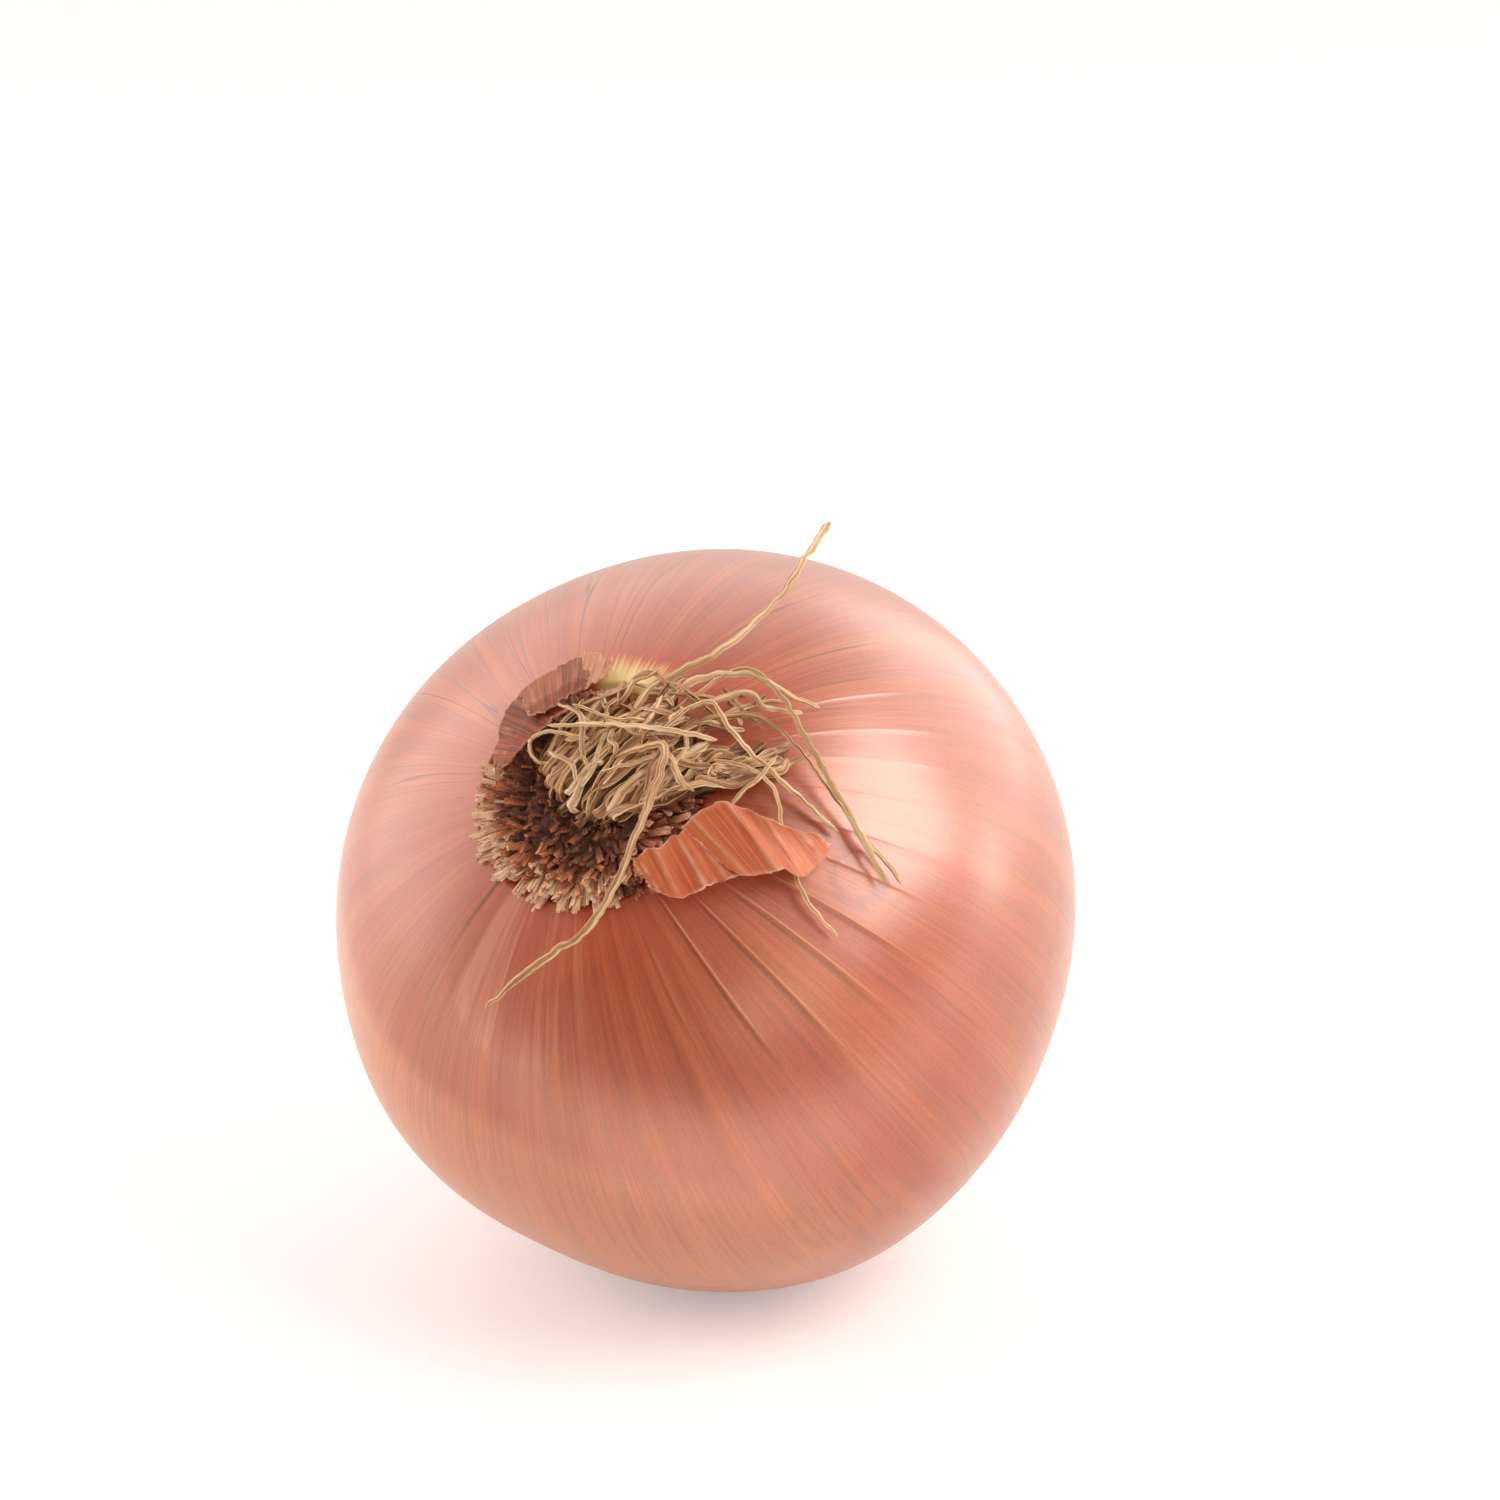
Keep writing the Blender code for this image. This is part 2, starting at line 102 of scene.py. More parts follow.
onion_turn = Euler((0, LEAN, HEADING)).to_matrix()
bulb_centre = Vector((-REST_SPOT[0], -REST_SPOT[1], REST_HEIGHT)) * MM
onion_axis = Matrix.Translation(bulb_centre) @ onion_turn.to_4x4()


def eased_power(share, power):
    """share to a power, eased near 0 so that the two halves of the bulb meet without a line."""
    least = EQUATOR_EASE**power
    most = (1 + EQUATOR_EASE**2) ** (power / 2)
    return min(1.0, ((share**2 + EQUATOR_EASE**2) ** (power / 2) - least) / (most - least))


def bulb_radius(height):
    """The bulb's radius in millimetres at a height on its axis."""
    if height >= 0:
        share = min(height / ROOT_END_HEIGHT, 1.0)
        return BULB_RADIUS * (1 - eased_power(share, ROOT_END_FULLNESS)) ** (1 / ROOT_END_FULLNESS)
    share = min(-height / SHOULDER_HEIGHT, 1.0)
    belly = BULB_RADIUS * (1 - eased_power(share, SHOULDER_FULLNESS)) ** (1 / SHOULDER_FULLNESS)
    neck = NECK_RADIUS + NECK_FLARE / (1 + math.exp((-height - NECK_BEND) / NECK_EASE))
    return (belly**NECK_FILLET + neck**NECK_FILLET) ** (1 / NECK_FILLET)


def skin_height(distance):
    """The height of the skin over the root half, at a distance from the axis."""
    share = min(distance / BULB_RADIUS, 1.0)
    return ROOT_END_HEIGHT * (1 - share**ROOT_END_FULLNESS) ** (1 / ROOT_END_FULLNESS)


def bulb_outline():
    """Points (radius, height) from the middle of the root dish to the middle of the neck's end."""
    outline = [(0.0, DISH_FLOOR), (DISH_RADIUS, DISH_FLOOR)]
    lip = math.asin(skin_height(DISH_LIP) / ROOT_END_HEIGHT)
    for ring in range(ROOT_END_RINGS):
        height = ROOT_END_HEIGHT * math.sin(lip * (1 - ring / ROOT_END_RINGS))
        outline.append((bulb_radius(height), height))
    for ring in range(SHOULDER_RINGS + 1):
        height = -NECK_END * math.sin(math.pi / 2 * ring / SHOULDER_RINGS)
        outline.append((bulb_radius(height), height))
    outline.append((0.0, -NECK_END))
    return outline


def spun(outline, steps):
    """A bmesh turned about the onion's axis from an outline that runs down its outer side."""
    shape = bmesh.new()
    corners = [shape.verts.new((radius, 0, height)) for radius, height in outline]
    edges = [shape.edges.new(pair) for pair in zip(corners, corners[1:])]
    bmesh.ops.spin(
        shape,
        geom=corners + edges,
        axis=(0, 0, 1),
        cent=(0, 0, 0),
        angle=math.tau,
        steps=steps,
        use_merge=True,
    )
    bmesh.ops.remove_doubles(shape, verts=shape.verts, dist=1e-5)
    bmesh.ops.recalc_face_normals(shape, faces=shape.faces)
    return shape


def corners_of(mesh):
    """A mesh's corners as an array of rows."""
    flat = np.empty(len(mesh.vertices) * 3)
    mesh.vertices.foreach_get("co", flat)
    return flat.reshape(-1, 3)


def piece(name, shape, finish, node, sharp=None):
    """An object from a bmesh in the onion's frame and in millimetres, put where the onion lies."""
    mesh = bpy.data.meshes.new(name)
    shape.to_mesh(mesh)
    shape.free()
    mesh.transform(onion_axis @ Matrix.Scale(MM, 4))
    mesh.shade_smooth()
    if sharp:
        mesh.set_sharp_from_angle(angle=math.radians(sharp))
    made = bpy.data.objects.new(name, mesh)
    bpy.context.scene.collection.objects.link(made)
    mesh.materials.append(finish)
    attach(made, "root")
    if node:
        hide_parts(node)
    return made


def smoothstep(low, high, value):
    """Rises from 0 at low to 1 at high, for arrays and numbers."""
    share = np.clip((value - low) / (high - low), 0, 1)
    return share * share * (3 - 2 * share)


def arc_from_root_end(height, distance):
    """Millimetres along the skin from the root end's middle to rings of the bulb, by their height."""
    outline = np.array(bulb_outline()[1:-1])
    steps = np.hypot(*np.diff(outline, axis=0).T)
    arcs = DISH_RADIUS + np.concatenate([[0], np.cumsum(steps)])
    along = np.interp(-height, -outline[1:, 1], arcs[1:])
    return np.where((height > 0) & (distance < DISH_RADIUS + 0.1), distance, along)


def degrees_off(longitude, centre):
    """How far longitudes are past a centre, from -180 to 180 degrees."""
    return (longitude - centre + 180) % 360 - 180


def swell(longitude, distance):
    """How far the bulb is out of round, in millimetres."""
    rise = np.zeros_like(longitude)
    for centre, high, width in SWELLINGS:
        rise += high * np.exp(-((degrees_off(longitude, centre) / width) ** 2))
    return rise * np.clip((distance - DISH_LIP) / (BULB_RADIUS - DISH_LIP), 0, 1)


def neck_folds(longitude, height):
    """The folds that gather the skin into the neck, in millimetres."""
    around = np.radians(longitude)
    uneven = 1.3 * np.sin(3 * around)
    folds = sum(deep * np.cos(count * around + uneven + count) for count, deep in NECK_FOLDS)
    return smoothstep(*FOLDS_BEGIN, height) * folds


def pleated(longitude, distance, height):
    """How high the skin's pleats stand, in millimetres, and the painted highlight and shade along them.

    The painted shading is 1, a highlight, on a crest and below 0, a shade, at its foot.
    """
    rise = np.zeros_like(longitude)
    pleat_shading = np.zeros_like(longitude)
    for centre, start, end, tall in PLEATS:
        off = degrees_off(longitude, centre)
        fold = np.where(off < 0, np.exp(off / PLEAT_STEP), np.clip(1 - off / PLEAT_PANEL, 0, 1) ** 1.3)
        reach = smoothstep(start - 2, start + 3, distance)
        reach *= (1 - smoothstep(end - 9, end, distance)) * (height > 0)
        rise += tall * fold * reach
        # Painted highlight on the crest and painted shade at its foot
        crest_shading = np.exp(-((off / 0.4) ** 2)) - 0.8 * np.exp(-(((off + 1.1) / 0.6) ** 2))
        pleat_shading += crest_shading * reach * min(1.0, tall / 0.3)
    return rise, pleat_shading


def gathered(longitude):
    """Longitudes drawn together beside the pleats, so that their crests are sharp."""
    even = np.linspace(-180, 180, 3601)
    crowd = np.ones_like(even)
    for centre, *_ in PLEATS:
        crowd += 9 * np.exp(-(degrees_off(even, centre) ** 2))
    count = np.concatenate([[0], np.cumsum(crowd[1:])])
    return np.interp(longitude, count / count[-1] * 360 - 180, even)


def make_bulb():
    shape = spun(bulb_outline(), BULB_STEPS)
    mesh = bpy.data.meshes.new("bulb_draft")
    shape.to_mesh(mesh)
    corners = corners_of(mesh)
    distance = np.hypot(corners[:, 0], corners[:, 1])
    longitude = gathered(np.degrees(np.arctan2(corners[:, 1], corners[:, 0])))
    around = np.radians(longitude)
    along = arc_from_root_end(corners[:, 2], distance)
    rise, pleat_shading = pleated(longitude, distance, corners[:, 2])
    rise += neck_folds(longitude, corners[:, 2])
    distance *= 1 + (rise + swell(longitude, distance)) / np.maximum(distance, 1)
    corners[:, 0] = distance * np.cos(around)
    corners[:, 1] = distance * np.sin(around)
    down = np.array(onion_turn.transposed() @ Vector((0, 0, -1)))
    below = corners @ down - REST_HEIGHT
    corners -= np.outer(np.maximum(below, 0), down)
    grain = np.column_stack([BULB_RADIUS * np.cos(around), BULB_RADIUS * np.sin(around), along])
    mesh.vertices.foreach_set("co", corners.ravel())
    mesh.attributes.new("grain", "FLOAT_VECTOR", "POINT").data.foreach_set("vector", grain.ravel())
    # The tone carries the pleats' painted highlights and shade
    mesh.attributes.new("tone", "FLOAT", "POINT").data.foreach_set("value", pleat_shading)
    finished = bmesh.new()
    finished.from_mesh(mesh)
    shape.free()
    bpy.data.meshes.remove(mesh)
    piece("bulb_skin", finished, onion_skin, "bulb")


def paint(red, green, blue):
    """A colour as it shows on a screen, 0 to 255, turned into the shader's own linear values."""
    shares = [part / 255 for part in (red, green, blue)]
    return (*[part / 12.92 if part <= 0.04045 else ((part + 0.055) / 1.055) ** 2.4 for part in shares], 1.0)


def add_node(tree, kind, *values, **settings):
    """A node with its settings made, and its inputs, in order, linked or filled in."""
    made = tree.nodes.new(kind)
    for name, value in settings.items():
        setattr(made, name, value)
    for socket, value in zip(made.inputs, values):
        fill(tree, socket, value)
    return made


def fill(tree, socket, value):
    """A node's input linked to a value, or filled in."""
    if isinstance(value, Value):
        tree.links.new(value.socket, socket)
    else:
        socket.default_value = value


class Value:
    """A number, place or colour of a node tree. Each sum made with it adds a node."""

    def __init__(self, tree, socket):
        self.tree = tree
        self.socket = socket

    def through(self, kind, *values, **settings):
        """What a new node makes of this value and others."""
        return Value(self.tree, add_node(self.tree, kind, self, *values, **settings).outputs[0])

    def math(self, operation, *others):
        """A Math node's result."""
        return self.through("ShaderNodeMath", *others, operation=operation)

    def __add__(self, other):
        return self.math("ADD", other)

    def __sub__(self, other):
        return self.math("SUBTRACT", other)

    def __mul__(self, other):
        return self.math("MULTIPLY", other)

    def __truediv__(self, other):
        return self.math("DIVIDE", other)

    def __abs__(self):
        return self.math("ABSOLUTE")

    def rise(self, low, high, bottom=0.0, top=1.0):
        """A smooth step in this value from low to high."""
        ends = (low, high, bottom, top)
        return self.through("ShaderNodeMapRange", *ends, interpolation_type="SMOOTHSTEP", clamp=True)

    def toward(self, colour, share, blend="MIX"):
        """This colour mixed with another one by a share."""
        return mix_of(self.tree, share, self, colour, blend)

    def shaded(self, shade):
        """This colour made darker or lighter by a shade."""
        grey = shade.through("ShaderNodeCombineXYZ", shade, shade)
        return self.toward(grey, 1.0, "MULTIPLY")

    def into(self, node, name):
        """This value fed to a node's input."""
        self.tree.links.new(self.socket, node.inputs[name])


def values_of(tree, node):
    """A node's outputs by name."""
    return {socket.name: Value(tree, socket) for socket in node.outputs}


def mix_of(tree, share, first, second, blend="MIX"):
    """Two colours mixed by a share."""
    mix = add_node(tree, "ShaderNodeMix", share, data_type="RGBA", blend_type=blend, clamp_factor=True)
    fill(tree, mix.inputs[6], first)
    fill(tree, mix.inputs[7], second)
    return Value(tree, mix.outputs[2])


def new_finish(name, roughness, coat=0.0, coat_roughness=0.2, specular=0.5):
    """A material, its node tree and its Principled shader."""
    finish = bpy.data.materials.new(name)
    finish.use_nodes = True
    shader = finish.node_tree.nodes["Principled BSDF"]
    shader.inputs["Roughness"].default_value = roughness
    shader.inputs["Coat Weight"].default_value = coat
    shader.inputs["Coat Roughness"].default_value = coat_roughness
    shader.inputs["Specular IOR Level"].default_value = specular
    return finish, finish.node_tree, shader


def cloud_of(place, scale, detail, roughness=0.5):
    """Soft noise over a place."""
    cloud = add_node(place.tree, "ShaderNodeTexNoise", place)
    for name, value in (("Scale", scale), ("Detail", detail), ("Roughness", roughness)):
        cloud.inputs[name].default_value = value
    return Value(place.tree, cloud.outputs[0])


def make_fibre_group():
    """Streaks that run along the fibres: a fine and a coarse set, and thin branching veins.

    Grain is a place in millimetres whose Z runs along the fibres.
    """
    tree = bpy.data.node_groups.new("fibres", "ShaderNodeTree")
    tree.interface.new_socket("Grain", in_out="INPUT", socket_type="NodeSocketVector")
    for way, names in (
        ("INPUT", ("Fine Width", "Coarse Width", "Length", "Vein Spacing")),
        ("OUTPUT", ("Fine", "Coarse", "Veins")),
    ):
        for name in names:
            tree.interface.new_socket(name, in_out=way, socket_type="NodeSocketFloat")
    given = values_of(tree, tree.nodes.new("NodeGroupInput"))
    place = values_of(tree, add_node(tree, "ShaderNodeSeparateXYZ", given["Grain"]))
    made = {}
    for name, width, stretch, detail in (
        ("Fine", given["Fine Width"], 1.0, 3.0),
        ("Coarse", given["Coarse Width"], 2.2, 4.0),
        ("Wander", given["Vein Spacing"], 5.0, 2.0),
    ):
        z = place["Z"] / (given["Length"] * stretch)
        spot = (place["X"] / width).through("ShaderNodeCombineXYZ", place["Y"] / width, z)
        made[name] = (spot, cloud_of(spot, 1.0, detail, 0.6))
    spot, wander = made["Wander"]
    shifted = spot.through("ShaderNodeVectorMath", (wander - 0.5) * 0.8, operation="ADD")
    cells = add_node(tree, "ShaderNodeTexVoronoi", shifted, feature="DISTANCE_TO_EDGE")
    cells.inputs["Scale"].default_value = 1.0
    shown = tree.nodes.new("NodeGroupOutput")
    made["Fine"][1].into(shown, "Fine")
    made["Coarse"][1].into(shown, "Coarse")
    Value(tree, cells.outputs[0]).rise(0.045, 0.0).into(shown, "Veins")
    return tree


fibre_group = make_fibre_group()


def fibres(grain, fine, coarse, length, veins):
    """The fibre group's streaks over a grain: their widths, their length and the veins' spacing."""
    sizes = (fine, coarse, length, veins)
    made = add_node(grain.tree, "ShaderNodeGroup", grain, *sizes, node_tree=fibre_group)
    return values_of(grain.tree, made)


def grain_of(tree):
    """The piece's own grain attribute."""
    return values_of(tree, add_node(tree, "ShaderNodeAttribute", attribute_name="grain"))["Vector"]


def tone_of(tree):
    """The piece's own tone attribute."""
    return values_of(tree, add_node(tree, "ShaderNodeAttribute", attribute_name="tone"))["Fac"]


def spot_mask(longitude, along, centre, size, ragged=None):
    """1 inside an oval on the skin, 0 outside. centre and size are (degrees, millimetres)."""
    aside = (longitude - centre[0]) / size[0]
    off = (along - centre[1]) / size[1]
    span = aside * aside + off * off
    if ragged:
        span += ragged
    return span.rise(1.15, 0.75)


def bumped(shader, height, distance, strength=0.6):
    """A bump, in millimetres, on a shader."""
    bump = add_node(height.tree, "ShaderNodeBump")
    bump.inputs["Strength"].default_value = strength
    bump.inputs["Distance"].default_value = distance * MM
    height.into(bump, "Height")
    Value(height.tree, bump.outputs[0]).into(shader, "Normal")


COPPER_DEEP = paint(172, 70, 32)
COPPER = paint(190, 88, 42)
COPPER_LIGHT = paint(206, 110, 60)
RUSSET = paint(194, 74, 32)
# Painted highlight on the pleats' crests
PAINTED_CREST_HIGHLIGHT = paint(238, 160, 116)
# The veins' colour, also the painted shade at the pleats' feet
VEIN_AND_CREASE_SHADE = paint(118, 42, 16)
SKIN_PALE = paint(220, 138, 90)
BAND_PALE = paint(226, 150, 112)
FLESH = paint(255, 226, 146)
FLESH_EDGE = paint(242, 164, 92)
STAIN = paint(128, 44, 34)
TAN = paint(226, 160, 98)
TAN_DARK = paint(160, 92, 48)


def make_onion_skin():
    finish, tree, shader = new_finish("onion_skin", 0.42, coat=1.0, coat_roughness=0.3, specular=0.55)
    grain = grain_of(tree)
    place = values_of(tree, add_node(tree, "ShaderNodeSeparateXYZ", grain))
    turn = place["Y"].math("ARCTAN2", place["X"])
    longitude = (turn * (180 / math.pi)).math("WRAP", 360.0, 0.0)
    past_zero = longitude.math("WRAP", 270.0, -90.0)
    along = place["Z"]
    streaks = fibres(grain, fine=0.14, coarse=0.7, length=10.0, veins=3.4)
    broad = fibres(grain, fine=0.4, coarse=5.0, length=30.0, veins=1.3)
    ragged = (streaks["Coarse"] - 0.5) * 2.0

    # Copper in broad streaks, redder beside the plate, paler low on the right
    colour = mix_of(tree, broad["Coarse"].rise(0.3, 0.72), COPPER_DEEP, COPPER_LIGHT)
    colour = colour.toward(COPPER, 0.4)
    colour = colour.toward(RUSSET, along.rise(26.0, 13.0, 0.0, 0.5))
    colour = colour.toward(SKIN_PALE, spot_mask(past_zero, along, (-32.0, 58.0), (80.0, 20.0)) * 0.55)

    # Fibres, nerves, threads and speckle, each a little darker or lighter
    fine = streaks["Fine"].rise(0.35, 0.65, 0.92, 1.05)
    nerves = streaks["Coarse"].rise(0.36, 0.6, 0.9, 1.05)
    threads = broad["Fine"].rise(0.34, 0.44, 0.9, 1.0)
    speckle = cloud_of(grain, 3.2, 3.0).rise(0.35, 0.65, 0.94, 1.05)
    colour = colour.shaded(fine * nerves * (threads * speckle))

    # Pale bands below the plate
    bands = spot_mask(past_zero, along, (-6.0, 21.0), (22.0, 11.0))
    colour = colour.toward(BAND_PALE, bands * broad["Coarse"].rise(0.44, 0.6, 0.06, 0.46))

    # Veins, most of them at the plate's upper left and toward the neck, and the pleats' painted highlight on
    # their crests and painted shade at their feet
    shown = spot_mask(longitude, along, (200.0, 23.0), (84.0, 17.0)) * 0.75 + 0.12
    shown += along.rise(58.0, 82.0, 0.0, 0.45)
    shown *= broad["Coarse"].rise(0.4, 0.6)
    colour = colour.toward(VEIN_AND_CREASE_SHADE, streaks["Veins"] * shown)
    colour = colour.toward(VEIN_AND_CREASE_SHADE, broad["Veins"] * 0.14)
    pleat_shading = tone_of(tree)
    colour = colour.toward(PAINTED_CREST_HIGHLIGHT, pleat_shading.rise(0.1, 1.0) * 0.6)
    colour = colour.toward(VEIN_AND_CREASE_SHADE, pleat_shading.rise(-0.1, -0.8) * 0.45)

    # The bare yellow patch beside the plate, with its rim and a russet halo
    aside = abs(longitude - 183.0)
    edge = along + ragged * 2.2
    outside = along.rise(12.2, 12.8)
    halo = aside.rise(27.0, 14.0) * edge.rise(20.6, 16.4)
    rim = aside.rise(19.0, 13.0) * edge.rise(17.6, 15.8) * outside
    bare = aside.rise(16.0, 8.0) * edge.rise(16.8, 14.4) * outside
    colour = colour.toward(RUSSET, halo * 0.6)
    colour = colour.toward(FLESH_EDGE, rim * 0.8)
    colour = colour.toward(FLESH, bare)

    # The stain's ring and the russet spot beside it
    stain = spot_mask(longitude, along, (88.0, 31.5), (6.0, 3.4), ragged)
    inside = spot_mask(longitude, along, (89.0, 31.2), (4.4, 2.4), ragged)
    colour = colour.toward(STAIN, (stain - inside) * 0.45)
    colour = colour.toward(RUSSET, spot_mask(longitude, along, (98.0, 42.0), (3.0, 2.2), ragged) * 0.5)

    # A dark split that starts at the plate
    off = abs(longitude + (broad["Coarse"] - 0.5) * 4.0 - 328.0)
    colour = colour.toward(VEIN_AND_CREASE_SHADE, off.rise(1.1, 0.2) * along.rise(25.0, 15.0) * 0.9)

    # The neck, russet and then worn to tan
    neck_edge = along + ragged * 2.6
    worn = neck_edge.rise(112.4, 114.4)
    colour = colour.toward(RUSSET, neck_edge.rise(103.0, 112.0, 0.0, 0.6))
    colour = colour.toward(mix_of(tree, streaks["Fine"].rise(0.4, 0.62), TAN_DARK, TAN), worn)
    colour.into(shader, "Base Color")

    streaks["Coarse"].rise(0.3, 0.7, 0.38, 0.5).into(shader, "Roughness")
    bumped(shader, streaks["Fine"] + streaks["Coarse"] * 1.5 - worn * 4.0, 0.035, 0.5)
    return finish


onion_skin = make_onion_skin()
make_bulb()

# Root plate
# The hard corky disc that the roots grow from, in the dish at the bulb's root end. It is dark and
# crumbled in the middle, and its rim is a ring of short frayed flakes, the cut ends of old leaf bases,
# that lie over one another and grow paler outward.

PLATE_RADIUS = DISH_RADIUS - 0.3
PLATE_TOP = 36.3
# How much lower its rim is
PLATE_DROP = 1.5
PLATE_RINGS = 39
PLATE_STEPS = 120
# The flakes under the torn collar and beside the bare patch are shorter
BARE_SPAN = (150, 266)
BARE_REACH = 10.9
# How deep the flakes grow from
FLAKE_DEPTH = 0.1
# How many, where they start, how far their tips reach, rise of the tip, half width, tone
FLAKE_RINGS = (
    (150, (2.6, 7.0), (0.8, 1.5), (0.15, 0.6), (0.18, 0.4), (0.0, 0.3)),
    (170, (6.2, 8.6), (1.2, 2.0), (0.15, 0.55), (0.2, 0.44), (0.05, 0.55)),
    (180, (8.0, 9.8), (1.6, 2.4), (0.1, 0.5), (0.22, 0.48), (0.3, 0.8)),
)
# The rim's frayed teeth: bundles of fibres, how far they reach, and their fibres' turn, half width and tone
TEETH = 86
TOOTH_STARTS = (9.2, 10.4)
TOOTH_TIPS = (11.9, 13.6)
TOOTH_RISES = (0.15, 0.5)
TOOTH_FIBRES = 4
FIBRE_TURN = 1.15
FIBRE_HALF_WIDTH = (0.13, 0.22)
TOOTH_TONE = (0.62, 1.2)
# Those in the flap's shade are darker
UNDER_FLAP = (34, 128)
SHADED_TONE = (0.1, 0.4)


def polar(longitude, distance, height=0.0):
    """A point from its longitude in degrees, and its distance and height."""
    turn = math.radians(longitude)
    return Vector((distance * math.cos(turn), distance * math.sin(turn), height))


def over_skin(longitude, distance, lift):
    """A point over the root half's skin: degrees, then millimetres out and up from it."""
    steep = (distance / BULB_RADIUS) ** (ROOT_END_FULLNESS - 1) / BULB_RADIUS
    level = (skin_height(distance) / ROOT_END_HEIGHT) ** (ROOT_END_FULLNESS - 1) / ROOT_END_HEIGHT
    lean = math.atan2(steep, level)
    return polar(longitude, distance + lift * math.sin(lean), skin_height(distance) + lift * math.cos(lean))


def new_shape():
    """An empty bmesh whose corners carry a grain, a place along the fibres, and a tone from 0 to 1."""
    shape = bmesh.new()
    shape.verts.layers.float_vector.new("grain")
    shape.verts.layers.float.new("tone")
    return shape


def layers_of(shape):
    """A bmesh's grain and tone, which its corners are set by."""
    return shape.verts.layers.float_vector["grain"], shape.verts.layers.float["tone"]


def spun_shape(outline, steps):
    """A spun bmesh that carries a grain and a tone, with its corners in the order of a mesh."""
    bare = spun(outline, steps)
    mesh = bpy.data.meshes.new("spun")
    bare.to_mesh(mesh)
    bare.free()
    shape = new_shape()
    shape.from_mesh(mesh)
    bpy.data.meshes.remove(mesh)
    return shape


def add_flake(shape, root, tip, half_width, tone, draw):
    """A frayed flake from root to tip: flat, crooked and ragged."""
    along = tip - root
    turn = along.to_track_quat("Z", "X").to_matrix().to_4x4()
    place = Matrix.Translation((root + tip) / 2) @ turn @ Matrix.Diagonal((0.3, 1.0, 1.0, 1.0))
    grown = bmesh.ops.create_cone(
        shape,
        cap_ends=True,
        segments=5,
        radius1=half_width,
        radius2=half_width * draw.uniform(0.5, 1.1),
        depth=along.length,
        matrix=place,
    )["verts"]
    grain, shade = layers_of(shape)
    for corner in grown:
        corner.co += half_width * Vector([draw.uniform(-0.5, 0.5) for _ in range(3)])
        reach = (corner.co - root).dot(along) / along.length
        corner[grain] = Vector((corner.co.x, corner.co.y, 0)) * 4 + Vector((0, 0, reach))
        corner[shade] = tone + 0.3 * (reach / along.length - 0.6)


def plate_height(distance):
    """The height of the plate's smooth top, at a distance from the axis."""
    return PLATE_TOP - PLATE_DROP * (distance / PLATE_RADIUS) ** 3


def within(longitude, span):
    """Whether a longitude lies in a span of degrees."""
    return span[0] < longitude % 360 < span[1]


def make_root_plate():
    outline = [(0.0, PLATE_TOP)]
    for ring in range(1, PLATE_RINGS + 1):
        distance = PLATE_RADIUS * ring / PLATE_RINGS
        outline.append((distance, plate_height(distance)))
    outline += [(PLATE_RADIUS - 0.3, DISH_FLOOR + 0.3), (0.0, DISH_FLOOR + 0.3)]
    shape = spun_shape(outline, PLATE_STEPS)
    grain, shade = layers_of(shape)
    for corner in shape.verts:
        distance = corner.co.xy.length
        if corner.co.z > DISH_FLOOR + 0.5:
            lumps = noise.fractal(corner.co * 0.9, 0.6, 2.0, 4)
            corner.co.z += 0.5 * lumps * min(1.0, (PLATE_RADIUS - distance) / 2)
        corner[shade] = 0.02 + 0.3 * max(0.0, distance / PLATE_RADIUS) ** 3
        corner[grain] = corner.co
    draw = random.Random(5)
    for count, starts, lengths, rises, widths, tones in FLAKE_RINGS:
        for index in range(count):
            longitude = 360 * (index + draw.uniform(-0.5, 0.5)) / count
            start = draw.uniform(*starts)
            reach = start + draw.uniform(*lengths)
            rise = draw.uniform(*rises)
            if within(longitude, BARE_SPAN):
                reach = min(reach, BARE_REACH)
                rise = 0.1
            root = polar(longitude, start, plate_height(start) - FLAKE_DEPTH)
            tip = over_skin(longitude + draw.uniform(-9, 9), max(reach, start + 0.6), 0.45 + rise)
            if reach < DISH_LIP - 0.5:
                tip.z = max(tip.z, root.z + rise)
            add_flake(shape, root, tip, draw.uniform(*widths), draw.uniform(*tones), draw)
    for index in range(TEETH):
        for layer, rise in enumerate(TOOTH_RISES):
            middle = 360 * (index + 0.5 * layer + draw.uniform(-0.3, 0.3)) / TEETH
            bare = within(middle, BARE_SPAN)
            reach = BARE_REACH if bare else draw.uniform(*TOOTH_TIPS) - 0.7 * layer
            start = draw.uniform(*TOOTH_STARTS) - 0.6 * layer
            lean = draw.uniform(-3, 3)
            shaded = within(middle, UNDER_FLAP)
            tone = draw.uniform(*SHADED_TONE) if shaded else draw.uniform(*TOOTH_TONE) - 0.12 * layer
            for fibre in range(TOOTH_FIBRES):
                longitude = middle + FIBRE_TURN * (fibre - (TOOTH_FIBRES - 1) / 2)
                root = polar(longitude, start, plate_height(start) - FLAKE_DEPTH)
                far = reach + draw.uniform(-0.3, 0.3)
                tip = over_skin(longitude + lean, far, 0.2 + rise + draw.uniform(0, 0.15))
                half_width = draw.uniform(*FIBRE_HALF_WIDTH)
                add_flake(shape, root, tip, half_width, tone + draw.uniform(-0.12, 0.12), draw)
    piece("root_plate_cork", shape, root_plate_cork, "root_plate", sharp=30)


CORK_DARK = paint(92, 56, 40)
CORK_BROWN = paint(152, 90, 62)
CORK_RUSSET = paint(208, 120, 80)
CORK_CREAM = paint(255, 206, 168)


def toned(tone, stops):
    """Colours mixed one into the next by tone. stops are (tone, colour)."""
    colour = stops[0][1]
    for (low, _), (high, shown) in zip(stops, stops[1:]):
        colour = mix_of(tone.tree, tone.rise(low, high), colour, shown)
    return colour


